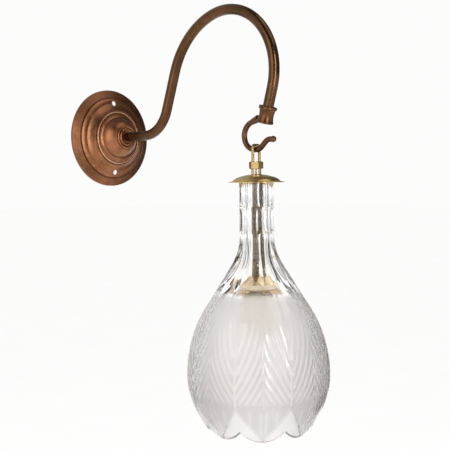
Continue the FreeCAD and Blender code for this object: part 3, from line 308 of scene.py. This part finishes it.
def cut_glass(name, inside):
    """Clear on the neck. The carved outside stays glossy, the inside of the body is satin etched."""
    paint = Paint(name, Transmission_Weight=1.0, IOR=1.5)
    clear, frosted, cut_white_and_highlight = (0.995, 0.990, 0.986), (0.985, 0.965, 0.955), (1.0, 0.985, 0.98)
    grey, mitre = (0.64, 0.605, 0.59), (0.50, 0.45, 0.42)
    height = paint.height()
    etched = paint.ramp(height, ETCH_FROM, ETCH_TO)
    cloud = paint.noise(60.0, 4.0, 0.6)
    if inside:
        body = frosted
        coarse = paint.ramp(height, FINER_FROM, FINER_TO, 0.18, 0.0)
        rough = paint.math("ADD", paint.ramp(cloud, 0.3, 0.7, 0.38, 0.48), coarse)
    else:
        in_cut = paint.attribute("ground")
        # Darker towards the bottom of the outside, drifting at random.
        low = paint.ramp(height, GREY_FROM, GREY_TO)
        low = paint.math("ADD", low, paint.ramp(cloud, 0.3, 0.7, -0.12, 0.12), clamp=True)
        body = paint.mix(low, frosted, grey)
        # Whiter in the cuts: partly the ground glass of the cuts, partly a painted highlight on their
        # walls.
        body = paint.mix(in_cut, body, cut_white_and_highlight)
        # Painted shade: dark lines along the leaf edges and the vein ends, standing in for
        # refraction.
        body = paint.mix(paint.attribute("edge"), body, mitre)
        cut_rough = paint.math("MULTIPLY", in_cut, 0.08)
        rough = paint.math("ADD", paint.ramp(cloud, 0.3, 0.7, 0.05, 0.09), cut_rough)
    colour = paint.mix(etched, clear, body)
    rough = paint.math("ADD", paint.math("MULTIPLY", etched, rough), 0.012)
    normal = paint.bump(paint.noise(45.0, 2.0, 0.5), 0.05, 0.4 * MM)
    return paint.finish(Base_Color=colour, Roughness=rough, Normal=normal)


def dull_white(name, colour, gloss, grain):
    """Glazed or painted white, a little uneven, with painted shade in its corners."""
    paint = Paint(name)
    cloud = paint.noise(90.0, 4.0, 0.6)
    # Painted shade: greyer in corners.
    corner = paint.ramp(paint.hollow(2.0 * MM), 0.3, 0.95, 0.62, 1.0)
    scale = paint.math("MULTIPLY", corner, paint.ramp(cloud, 0.3, 0.7, 0.93, 1.0))
    rough = paint.ramp(cloud, 0.3, 0.7, gloss, gloss * 1.5)
    normal = paint.bump(paint.noise(grain, 3.0, 0.6), 0.08, 0.08 * MM)
    return paint.finish(Base_Color=paint.scaled(colour, scale), Roughness=rough, Normal=normal)


def soft_stuff(name, colour, pale, grain, depth):
    """Felt, rubber or soft plastic: matt, with a fine grain of its own."""
    paint = Paint(name)
    fibre = paint.noise(grain, 5.0, 0.7, distortion=1.2)
    shade = paint.mix(paint.ramp(fibre, 0.35, 0.7), colour, pale)
    rough = paint.ramp(fibre, 0.3, 0.7, 0.72, 0.95)
    normal = paint.bump(fibre, 0.5, depth)
    return paint.finish(Base_Color=shade, Roughness=rough, Normal=normal)


MATERIALS = {
    "rose_bronze": aged_bronze("rose_bronze", 0.84, rose=True, reach=1.4 * MM),
    "arm_bronze": aged_bronze("arm_bronze", 0.30, gloss=0.13),
    "cast_bronze": aged_bronze("cast_bronze", 0.36, cast=0.10, gloss=0.06),
    "steel": plain_metal("zinc_steel", (0.60, 0.59, 0.57), (0.42, 0.41, 0.40), 0.36),
    "brass": plain_metal("contact_brass", (0.80, 0.58, 0.27), (0.62, 0.42, 0.18), 0.28),
    "spring": plain_metal("spring_steel", (0.66, 0.66, 0.64), (0.48, 0.48, 0.47), 0.22),
    "loop": plain_metal("loop_brass", (0.44, 0.32, 0.13), (0.32, 0.22, 0.08), 0.20),
    "cap": plain_metal("cap_brass", (0.82, 0.60, 0.27), (0.61, 0.43, 0.17), 0.24, HANG),
    "disc": plain_metal("disc_brass", (0.86, 0.68, 0.40), (0.60, 0.43, 0.22), 0.24, HANG, 0.3),
    "stem": stem_metal(),
    "glass": cut_glass("cut_glass", False),
    "glass_inside": cut_glass("etched_glass", True),
    "porcelain": dull_white("porcelain", (0.86, 0.84, 0.79), 0.16, 260.0),
    "holder": dull_white("holder_white", (0.84, 0.82, 0.78), 0.34, 420.0),
    "felt": soft_stuff("grey_felt", (0.17, 0.155, 0.135), (0.32, 0.30, 0.27), 1400.0, 0.25 * MM),
    "rubber": soft_stuff("seat_rubber", (0.66, 0.55, 0.38), (0.76, 0.66, 0.50), 900.0, 0.06 * MM),
    "bush": soft_stuff("bush_plastic", (0.035, 0.03, 0.028), (0.07, 0.065, 0.06), 700.0, 0.05 * MM),
}

FINISHES = {
    "rose_bronze": ["rose_backplate", "rose_dome", "arm_boss"],
    "arm_bronze": ["swan_neck_arm"],
    "cast_bronze": ["hook_collar"],
    "steel": ["clamp_strap", "arm_washer", "arm_nut", "earth_screw", "block_screw", "stem_washer"],
    "brass": [
        "earth_tag", "terminal_inserts", "terminal_screws", "lampholder_terminals",
        "plunger_left", "plunger_right",
    ],
    "spring": ["plunger_spring_left", "plunger_spring_right"],
    "loop": ["shackle"],
    "cap": ["saucer_cap"],
    "disc": ["support_disc", "stem_locknut"],
    "stem": ["threaded_stem"],
    "glass": ["glass_shade"],
    "porcelain": ["terminal_block", "lampholder_insulator"],
    "holder": ["lampholder_cap", "lampholder_barrel", "shade_ring"],
    "felt": ["cap_washer"],
    "rubber": ["disc_gasket"],
    "bush": ["cable_bush"],
}


def dress(piece, finish):
    """Gives a piece its material in every one of its slots."""
    if not piece.material_slots:
        piece.data.materials.append(MATERIALS[finish])
    for slot in piece.material_slots:
        slot.material = MATERIALS[finish]


for finish, names in FINISHES.items():
    for name in names:
        dress(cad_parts[name], finish)


# ---------------------------------------------------------------- meshes


def piece_from_grid(name, grid, second=None):
    """A closed skin from rows of points around an axis. The last row joins the first one again.

    The grid holds rows, columns and x, y, z in metres. Faces between two rows that second marks
    take the piece's second material.
    """
    rows, columns = grid.shape[:2]
    row, column = np.meshgrid(np.arange(rows), np.arange(columns), indexing="ij")
    next_row, next_column = (row + 1) % rows, (column + 1) % columns
    corners = [(row, column), (row, next_column), (next_row, next_column), (next_row, column)]
    faces = np.stack([r * columns + c for r, c in corners], axis=-1).reshape(-1, 4)
    mesh = bpy.data.meshes.new(name)
    mesh.vertices.add(rows * columns)
    mesh.vertices.foreach_set("co", grid.reshape(-1).astype(np.float32))
    mesh.loops.add(faces.size)
    mesh.loops.foreach_set("vertex_index", faces.reshape(-1).astype(np.int32))
    mesh.polygons.add(len(faces))
    mesh.polygons.foreach_set("loop_start", np.arange(0, faces.size, 4, dtype=np.int32))
    mesh.polygons.foreach_set("use_smooth", np.ones(len(faces), dtype=bool))
    if second is not None:
        marked = second[row] & second[next_row]
        mesh.polygons.foreach_set("material_index", marked.reshape(-1).astype(np.int32))
    mesh.update(calc_edges=True)
    mesh.validate()
    piece = bpy.data.objects.new(name, mesh)
    bpy.context.scene.collection.objects.link(piece)
    return piece


def points_around(axis, angle, radius, height):
    """A grid of points around an upright axis. The radii are millimetres, the rest metres."""
    x = axis.x + radius * np.cos(angle) * MM
    y = axis.y + radius * np.sin(angle) * MM
    return np.stack([x, y, height], axis=-1)


def ride_for(piece, body, nodes, finish):
    """Puts a new piece in the place of CAD nodes."""
    dress(piece, finish)
    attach(piece, body)
    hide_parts(*nodes)


def smoothstep(low, high, value):
    share = np.clip((value - low) / (high - low), 0, 1)
    return share * share * (3 - 2 * share)


# The glass, in millimetres. Depths count down from its top. These repeat the sizes of the solid.
LEAVES = 8
HALF_STEP = math.pi / LEAVES
NECK_R, NECK_BORE = 16.15, 10.5
NECK_LOW, BORE_LOW = 51.8, 69.2
FLARE_BEND, FLARE = 50.0, math.radians(32.5)
SHOULDER = 116.2
BODY_R, BODY_DEPTH = 66.3, 179.7
LOWER_BEND, LOWER = 68.0, math.radians(28.0)
GLASS_HEIGHT = 230.9
SEAT_R, SEAT_DEPTH, SEAT_SLOPE = 25.2, 100.9, math.radians(49.7)
BODY_WALL, RIM_WALL = 5.0, 4.9
NOTCH, LEAF_HALF = 8.6, 18.6
OUTER_RIM_R, INNER_RIM_R = 48.5, 43.0

# The neck's hollow cuts: where their bands start, the length of the last one, how deep the cuts
# go, how far they are turned, and how much of them is left on the way down.
BANDS, LAST_BAND = (0.0, 24.5, 49.0), 70.0
NECK_HOLLOW, MIDDLE_DEEPER = 1.1, 1.2
NECK_TURN, MIDDLE_TURN = math.radians(15.7), math.radians(9.0)
CUTS_FADE, CUTS_LEFT = (50, 80, 100, 130), (1, 0.5, 0.25, 0)
CUTS_END = 124.0
RIDGE_SWELL, SWELL_FROM, SWELL_TO = 0.03, 55, 75
HOLLOW_SQUARENESS = 5

# The body's cuts: depth and half width of each line, and the pitch and slope of the feather veins.
LEAF_LOW = 197.0
VEIN_TOP, VEIN_PITCH, VEIN_DEPTH = 112.0, 6.0, 0.5
VEIN_SLOPE, VEIN_OPENS, VEIN_OPENS_OVER = 8, 24, 70
RIB_DEPTH, RIB_HALF = 0.30, 1.1
BORDER_DEPTH, BORDER_HALF = 0.75, 1.7
MITRE_DEPTH, MITRE_HALF, MITRE_SLANT = 0.85, 1.35, 0.78
FAN_DEPTH, FAN_LOW, FAN_END = 0.22, 218, 226
RECESS_DEPTH = 0.55

# The mesh of the glass: its columns, the depths of its first rows, where rows 1 mm apart start and
# where the finer ones do, where they start to follow the scallops, and the rounding of the rim.
COLUMNS = 720
NECK_ROWS = [
    0.0, 0.5, 1.5, 3.5, 7, 12.25, 17.5, 21, 23, 24.0, 24.49,
    24.75, 25.3, 26.5, 29, 33, 36.75, 41, 44.5, 47, 48.2, 48.99, 49.25, 50, 51,
]
EVEN_FROM, FINE_FROM, FINE_STEP = 52.0, 96.0, 0.55
STRETCH_FROM = 200.0
RIM_ROUND = 0.7
GLASS_SHARP = math.radians(26)


def outer_radius(depth):
    """The turned outside of the glass at each depth."""
    flare_low = NECK_LOW + FLARE_BEND * math.sin(FLARE)
    flare_r = NECK_R + FLARE_BEND * (1 - math.cos(FLARE))
    shoulder_r = flare_r + (SHOULDER - flare_low) * math.tan(FLARE)
    drop, swell = BODY_DEPTH - SHOULDER, BODY_R - shoulder_r
    bend = (drop**2 + swell**2) / (2 * swell)
    skirt_depth = BODY_DEPTH + LOWER_BEND * math.sin(LOWER)
    skirt_r = BODY_R - LOWER_BEND * (1 - math.cos(LOWER))
    below = np.clip(depth - NECK_LOW, 0, None)
    flare = NECK_R + FLARE_BEND - np.sqrt(np.clip(FLARE_BEND**2 - below**2, 0, None))
    cone = flare_r + (depth - flare_low) * math.tan(FLARE)
    up = depth - BODY_DEPTH
    upper = BODY_R - bend + np.sqrt(np.clip(bend**2 - up**2, 0, None))
    lower = BODY_R - LOWER_BEND + np.sqrt(np.clip(LOWER_BEND**2 - up**2, 0, None))
    skirt = skirt_r - (depth - skirt_depth) * math.tan(LOWER)
    return np.select(
        [depth < flare_low, depth < SHOULDER, depth < BODY_DEPTH, depth < skirt_depth],
        [flare, cone, upper, lower],
        skirt,
    )


def inner_radius(depth):
    """The smooth inside of the glass at each depth."""
    run, fall = SEAT_R - NECK_BORE, SEAT_DEPTH - BORE_LOW
    flare = (run**2 + fall**2) / (2 * run)
    inner_body = BODY_R - BODY_WALL
    bend = (inner_body - SEAT_R) / (1 - math.cos(SEAT_SLOPE))
    widest = SEAT_DEPTH + bend * math.sin(SEAT_SLOPE)
    skirt_depth = BODY_DEPTH + LOWER_BEND * math.sin(LOWER)
    wall = RIM_WALL / math.cos(LOWER)
    skirt_r = BODY_R - LOWER_BEND * (1 - math.cos(LOWER)) - wall
    drop, inward = skirt_depth - widest, inner_body - skirt_r
    lower = (drop**2 + inward**2) / (2 * inward)
    below = np.clip(depth - BORE_LOW, 0, fall)
    opening = NECK_BORE + flare - np.sqrt(flare**2 - below**2)
    belly = inner_body - bend + np.sqrt(np.clip(bend**2 - (depth - widest) ** 2, 0, None))
    low_belly = inner_body - lower + np.sqrt(np.clip(lower**2 - (depth - widest) ** 2, 0, None))
    skirt = skirt_r - (depth - skirt_depth) * math.tan(LOWER)
    return np.select(
        [depth < SEAT_DEPTH, depth < widest, depth < skirt_depth],
        [opening, belly, low_belly],
        skirt,
    )


def rim_depth(angle, radius):
    """How deep the scalloped rim is at an angle from a leaf's middle."""
    turn = (NOTCH**2 + LEAF_HALF**2) / (2 * NOTCH)
    aside = radius * np.sin(HALF_STEP - np.abs(angle))
    inward = np.clip(LEAF_HALF - aside, 0, None)
    return GLASS_HEIGHT - (turn - np.sqrt(turn**2 - inward**2))


def neck_panels(angle, depth, radius):
    """The neck's radius with its hollow cuts. Those of the middle band are turned and deeper."""
    top, middle, low = BANDS
    in_middle = (depth > middle) & (depth <= low)
    shift = np.where(in_middle, NECK_TURN + MIDDLE_TURN, NECK_TURN)
    turned = (angle + shift + HALF_STEP) % (2 * HALF_STEP)
    off = np.abs(turned - HALF_STEP)
    start = np.select([depth <= middle, depth <= low], [top, middle], low)
    length = np.where(depth <= low, middle - top, LAST_BAND)
    along = np.clip((depth - start) / length, 0, 1)
    run_out = 1 - np.abs(2 * along - 1) ** HOLLOW_SQUARENESS
    left = np.interp(depth, CUTS_FADE, CUTS_LEFT)
    ridge = radius * (1 + RIDGE_SWELL * left * smoothstep(SWELL_FROM, SWELL_TO, depth))
    across = np.tan(off) / math.tan(HALF_STEP)
    deeper = np.where(in_middle, MIDDLE_DEEPER, 1.0)
    hollow = NECK_HOLLOW * deeper * run_out * (1 - across**2) * ridge / NECK_R
    facet = (ridge * math.cos(HALF_STEP) - hollow) / np.cos(off)
    return ridge * (1 - left) + facet * left


def vein_drift(depth):
    """How far a vein has gone sideways by each depth. Veins open out as they go down."""
    first, step = 90.0, 0.5
    at = np.arange(first, GLASS_HEIGHT + 1, step)
    opened = np.clip((at - VEIN_TOP) / VEIN_OPENS_OVER, 0, 1) ** 0.9
    slope = np.radians(VEIN_SLOPE + VEIN_OPENS * opened)
    return np.interp(depth, at, np.concatenate([[0], np.cumsum(np.tan(slope[:-1]) * step)]))


def line_cut(distance, half):
    """The section of a cut line: 1 in its middle, 0 from its half width on."""
    return np.clip(1 - distance / half, 0, 1) ** 1.2


def carving(angle, depth, radius):
    """How deep the cutter went into the body: boundaries, midribs, feather veins and leaf edges.

    The second result marks the leaf edges and the ends of the veins, where the glass gets painted
    dark lines that stand in for refraction.
    """
    half = radius * HALF_STEP
    aside = np.abs(angle) * radius
    low_share = np.clip((depth - LEAF_LOW) / (GLASS_HEIGHT - LEAF_LOW), 0, 1)
    edge = half * (1 - low_share**1.25)
    inside = aside < edge
    low_end = 1 - smoothstep(LEAF_LOW, LEAF_LOW + 2, depth)
    low_start = smoothstep(LEAF_LOW - 1, LEAF_LOW + 2, depth)

    phase = ((vein_drift(depth) - aside) / VEIN_PITCH) % 1.0
    vein = (1 - np.abs(2 * phase - 1)) ** 1.3
    rise = 0.12 + 0.88 * smoothstep(VEIN_TOP, VEIN_TOP + 34, depth)
    off_rib, off_edge = smoothstep(0.0, 2.2, aside), smoothstep(0.0, 1.6, half - aside)
    ends = depth + 7.0 * (aside / half - 0.5) ** 2
    stop = 1 - smoothstep(LEAF_LOW - 11.0, LEAF_LOW + 1.0, ends)
    cut = VEIN_DEPTH * vein * rise * off_rib * off_edge * stop
    cut *= smoothstep(96.0, VEIN_TOP, depth)

    fan_phase = (aside / (half * 0.40) + 0.25) % 1.0
    fan = (1 - np.abs(2 * fan_phase - 1)) ** 5
    fan_on = smoothstep(LEAF_LOW + 1, LEAF_LOW + 6, depth) * (1 - smoothstep(FAN_LOW, FAN_END, depth))
    cut += FAN_DEPTH * fan * fan_on * inside

    rib_on = smoothstep(118, 150, depth) * (1 - smoothstep(LEAF_LOW - 4, LEAF_LOW + 2, depth))
    cut += RIB_DEPTH * line_cut(aside, RIB_HALF) * rib_on
    cut += BORDER_DEPTH * line_cut(half - aside, BORDER_HALF) * smoothstep(80, 128, depth) * low_end

    cut *= np.where(inside | (depth < LEAF_LOW), 1.0, 0.0)
    mitre = line_cut(np.abs(aside - edge) * MITRE_SLANT, MITRE_HALF) * low_start
    recess = smoothstep(0.0, 2.5, aside - edge) * smoothstep(LEAF_LOW, LEAF_LOW + 6, depth)
    cut += MITRE_DEPTH * mitre + RECESS_DEPTH * recess
    vein_ends = np.clip(2 * vein - 1, 0, 1) * np.exp(-(((depth - LEAF_LOW + 1.5) / 1.6) ** 2))
    return cut, np.clip(0.45 * mitre + 0.8 * vein_ends * off_rib, 0, 1)


def follow_scallops(rows, rim):
    """Stretches the lowest rows, so that the last one lies on the rim."""
    share = (rows - STRETCH_FROM) / (GLASS_HEIGHT - STRETCH_FROM)
    return np.where(share > 0, STRETCH_FROM + share * (rim - STRETCH_FROM), rows)


def cut_glass_shade():
    """The whole shade as one closed skin: carved outside, rolled rim, smooth inside."""
    angle = np.arange(COLUMNS) * 2 * math.pi / COLUMNS
    off = angle - np.round(angle / (2 * HALF_STEP)) * 2 * HALF_STEP
    even_rows = np.arange(EVEN_FROM, FINE_FROM, 1.0)
    fine_rows = np.arange(FINE_FROM, GLASS_HEIGHT + 0.01, FINE_STEP)
    rows = np.concatenate([NECK_ROWS, even_rows, fine_rows])
    rows[-1] = GLASS_HEIGHT
    rim, inner_rim = rim_depth(off, OUTER_RIM_R), rim_depth(off, INNER_RIM_R)
    depth = follow_scallops(rows[:, None], rim)
    turned = outer_radius(depth)
    turned = np.where(depth < CUTS_END, neck_panels(off, depth, turned), turned)
    cut, edge = carving(off, depth, turned)
    radius = turned - cut

    # The two lowest rows of the outside and the first row of the rim leave a fine groove.
    depth[-2:] = rim - 3 * RIM_ROUND, rim - RIM_ROUND
    outer_edge, inner_edge = radius[-1], inner_radius(inner_rim)
    rolled = [
        (rim - 1.3 * RIM_ROUND, outer_edge - 0.3 * RIM_ROUND),
        (rim, outer_edge - RIM_ROUND),
        (inner_rim, inner_edge + RIM_ROUND),
        (inner_rim - 0.3 * RIM_ROUND, inner_edge + 0.3 * RIM_ROUND),
        (inner_rim - RIM_ROUND, inner_edge),
    ]
    rim_depths, rim_radii = (np.array(values) for values in zip(*rolled))
    inner_rows = np.concatenate([np.linspace(GLASS_HEIGHT - 3, 104, 42), np.linspace(100, 0, 24)])
    inner_depth = follow_scallops(inner_rows[:, None], inner_rim)
    depth = np.concatenate([depth, rim_depths, inner_depth])
    radius = np.concatenate([radius, rim_radii, inner_radius(inner_depth)])

    # The grid starts with the last row, so that its faces look outwards.
    grid = points_around(HANG, angle, radius, GLASS_TOP - depth * MM)[::-1]
    inside = np.arange(len(depth)) >= len(rows) + 3
    piece = piece_from_grid("cut_glass_shade", grid, second=inside[::-1])
    # The cut depth, for the roughness, whiteness and painted highlight of the cuts, and the marks for
    # the painted dark lines.
    for name, values in (("ground", np.clip(cut / VEIN_DEPTH, 0, 1) ** 0.8), ("edge", edge)):
        marks = np.zeros(depth.shape, dtype=np.float32)
        marks[: len(values)] = values
        kept = piece.data.attributes.new(name, "FLOAT", "POINT")
        kept.data.foreach_set("value", marks[::-1].reshape(-1).copy())
    piece.data.set_sharp_from_angle(angle=GLASS_SHARP)
    ride_for(piece, "pendant", ["glass_shade"], "glass")
    piece.data.materials.append(MATERIALS["glass_inside"])


THREAD_PITCH, THREAD_CREST, THREAD_ROOT = 1.0, 5.0, 4.42
STEM_BORE, STEM_CHAMFER = 3.5, 0.6
STEM_COLUMNS, ROWS_PER_TURN, BORE_ROWS = 40, 9, 12
THREAD_SHARP = math.radians(50)


def threaded_stem():
    """The hollow stem with its real thread of one millimetre, chamfered at both ends."""
    middle, low, high = axis_of("threaded_stem")
    length = (high - low) / MM
    angle = np.arange(STEM_COLUMNS) * 2 * math.pi / STEM_COLUMNS
    rows = np.linspace(0, length, int(length * ROWS_PER_TURN / THREAD_PITCH) + 1)[:, None]
    phase = (rows / THREAD_PITCH + angle / (2 * math.pi)) % 1.0
    tooth = np.clip(1.25 * (1 - np.abs(2 * phase - 1)) - 0.1, 0, 1)
    from_end = np.minimum(rows, length - rows)
    thread = THREAD_ROOT + (THREAD_CREST - THREAD_ROOT) * tooth
    thread = np.minimum(thread, THREAD_CREST - STEM_CHAMFER + from_end)
    radius = np.concatenate([thread, np.full((BORE_ROWS, STEM_COLUMNS), STEM_BORE)])
    height = np.concatenate([rows, np.linspace(length, 0, BORE_ROWS)[:, None]])
    height = np.broadcast_to(low + height * MM, radius.shape)
    piece = piece_from_grid("threaded_stem_cut", points_around(middle, angle, radius, height))
    piece.data.set_sharp_from_angle(angle=THREAD_SHARP)
    ride_for(piece, "pendant", ["threaded_stem"], "stem")


SKIN_CELL, SKIN_PASSES = 0.28, 7


def cast_hook():
    """The hook and its collar as one casting, with the soft inner corners that a casting has."""
    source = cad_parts["hook_collar"]
    piece = bpy.data.objects.new("hook_casting", source.data.copy())
    bpy.context.scene.collection.objects.link(piece)
    remesh = piece.modifiers.new("skin", "REMESH")
    remesh.mode = "VOXEL"
    remesh.voxel_size = SKIN_CELL * MM
    remesh.use_smooth_shade = True
    smooth = piece.modifiers.new("soften", "SMOOTH")
    smooth.factor = 0.5
    smooth.iterations = SKIN_PASSES
    bpy.context.view_layer.update()
    shaped = piece.evaluated_get(bpy.context.evaluated_depsgraph_get())
    mesh = bpy.data.meshes.new_from_object(shaped)
    piece.modifiers.clear()
    piece.data = mesh
    ride_for(piece, "bracket", ["hook_collar"], "cast_bronze")


def soft_spring(side):
    """A lampholder spring, copied with its own mesh; the real one shortens as its plunger goes up."""
    node = "plunger_spring_" + side
    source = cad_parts[node]
    piece = bpy.data.objects.new("pressed_spring_" + side, source.data.copy())
    piece.matrix_world = source.matrix_world.copy()
    bpy.context.scene.collection.objects.link(piece)
    bpy.context.view_layer.update()
    ride_for(piece, "pendant", [node], "spring")
    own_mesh(piece)


cut_glass_shade()
threaded_stem()
cast_hook()
soft_spring("left")
soft_spring("right")


# ---------------------------------------------------------------- stage, light and camera

PART_MIDDLE = (0, -0.14, -0.08)


def put_facing(thing, place, target):
    """Puts an object of the stage at a place and turns it towards a point."""
    thing.location = place
    thing.rotation_euler = (Vector(target) - Vector(place)).to_track_quat("-Z", "Y").to_euler()
    bpy.context.scene.collection.objects.link(thing)


def lamp(name, place, width, height, power, colour=(1, 1, 1)):
    """A soft box that faces the part."""
    light = bpy.data.lights.new(name, "AREA")
    light.shape = "RECTANGLE"
    light.size = width
    light.size_y = height
    light.energy = power
    light.color = colour
    put_facing(bpy.data.objects.new(name, light), place, PART_MIDDLE)


def flat_panel(name, half, place, target):
    """A square sheet of the stage that faces a point."""
    mesh = bpy.data.meshes.new(name)
    shape = bmesh.new()
    bmesh.ops.create_grid(shape, x_segments=1, y_segments=1, size=half)
    shape.to_mesh(mesh)
    shape.free()
    panel = bpy.data.objects.new(name, mesh)
    put_facing(panel, place, target)
    return panel


# The brightness of the surroundings as metal and glass mirror them, from the photograph's right to
# its left.
MIRRORED_ROOM = ((0.0, 0.14), (0.26, 0.05), (0.40, 0.07), (0.52, 0.12), (0.70, 0.45), (0.95, 0.85))
ROOM_WHITE = (0.98, 0.975, 0.972)
SEEN_THROUGH_GLASS = 1.22


def studio_world():
    """Plain white surroundings. Mirrored they darken to one side, through glass they are brighter."""
    world = bpy.data.worlds.new("studio_world")
    world.use_nodes = True
    sky = Wiring(world.node_tree)
    rays = sky.tree.nodes.new("ShaderNodeLightPath").outputs
    through = rays["Is Transmission Ray"]
    mirrored = sky.math("SUBTRACT", rays["Is Glossy Ray"], through, clamp=True)

    direction = sky.parts(sky.tree.nodes.new("ShaderNodeTexCoord").outputs["Generated"])
    sideways = sky.math("MULTIPLY_ADD", direction["X"], -0.5, direction["Y"])
    room = sky.tree.nodes.new("ShaderNodeValToRGB")
    sky.put(room, 0, sky.ramp(sideways, -1.12, 1.12))
    stops = room.color_ramp.elements
    while len(stops) < len(MIRRORED_ROOM):
        stops.new(0.5)
    for stop, (place, value) in zip(stops, MIRRORED_ROOM):
        stop.position = place
        stop.color = (value, value * 0.98, value * 0.96, 1)

    background = sky.tree.nodes["Background"]
    sky.put(background, "Color", sky.mix(mirrored, ROOM_WHITE, room.outputs[0]))
    sky.put(background, "Strength", sky.ramp(through, 0.0, 1.0, 1.0, SEEN_THROUGH_GLASS))
    bpy.context.scene.world = world


def studio_floor():
    """A pale floor far below the part, with a little light of its own to stay white."""
    floor = flat_panel("studio_floor", 40.0, (0, 0, -1.25), (0, 0, -2))
    paint = Paint("studio_paper", Roughness=1.0, Specular_IOR_Level=0.0)
    paint.finish(Emission_Color=(1.0, 0.995, 0.992), Emission_Strength=0.06)
    grain = paint.ramp(paint.noise(3.0, 2.0, 0.5), 0.3, 0.7, 0.925, 0.935)
    floor.data.materials.append(paint.finish(Base_Color=paint.flat(grain, grain, grain)))


def studio_flag():
    """A dark screen at the right, seen only in metal and glass."""
    flag = flat_panel("studio_flag", 0.35, (0.97, -0.28, -0.15), PART_MIDDLE)
    flag.scale = (0.7, 2.0, 1.0)
    flag.visible_camera = False
    flag.visible_diffuse = False
    flag.visible_shadow = False
    paint = Paint("studio_black", Roughness=1.0, Specular_IOR_Level=0.0)
    grain = paint.ramp(paint.noise(5.0), 0.3, 0.7, 0.03, 0.04)
    flag.data.materials.append(paint.finish(Base_Color=paint.flat(grain, grain, grain)))


def studio_lights():
    lamp("key_light", (-1.15, -0.30, 0.25), 0.8, 1.1, 5.0, (1.0, 0.98, 0.96))
    lamp("front_light", (-0.34, -1.28, 0.12), 0.20, 0.9, 5.6)
    lamp("top_light", (0.35, -0.8, 1.2), 1.1, 1.1, 4.5)
    lamp("right_light", (0.9, -0.9, 0.1), 0.35, 1.0, 0.15, (1.0, 0.95, 0.9))


CAMERA_PLACE = (-0.5892, -0.7287, -0.0527)
CAMERA_YAW, CAMERA_PITCH, CAMERA_ROLL = 0.812856, -0.0466197, -0.0130768
CAMERA_LENS, CAMERA_SENSOR = 68.0, 36.0


def camera():
    """The photograph's camera, fitted to the rose, the arm, the hook and the shade."""
    lens = bpy.data.cameras.new("photo_camera")
    lens.lens = CAMERA_LENS
    lens.sensor_width = CAMERA_SENSOR
    lens.clip_start = 0.05
    lens.clip_end = 100.0
    ahead = Vector((
        math.sin(CAMERA_YAW) * math.cos(CAMERA_PITCH),
        math.cos(CAMERA_YAW) * math.cos(CAMERA_PITCH),
        math.sin(CAMERA_PITCH),
    ))
    right = ahead.cross(Vector((0, 0, 1))).normalized()
    up = right.cross(ahead)
    tilted_right = right * math.cos(CAMERA_ROLL) + up * math.sin(CAMERA_ROLL)
    tilted_up = up * math.cos(CAMERA_ROLL) - right * math.sin(CAMERA_ROLL)
    turned = Matrix((tilted_right, tilted_up, -ahead)).transposed()
    holder = bpy.data.objects.new("photo_camera", lens)
    holder.matrix_world = Matrix.Translation(CAMERA_PLACE) @ turned.to_4x4()
    bpy.context.scene.collection.objects.link(holder)
    bpy.context.scene.camera = holder


studio_world()
studio_floor()
studio_lights()
studio_flag()
camera()
bpy.context.scene.view_settings.view_transform = "Standard"
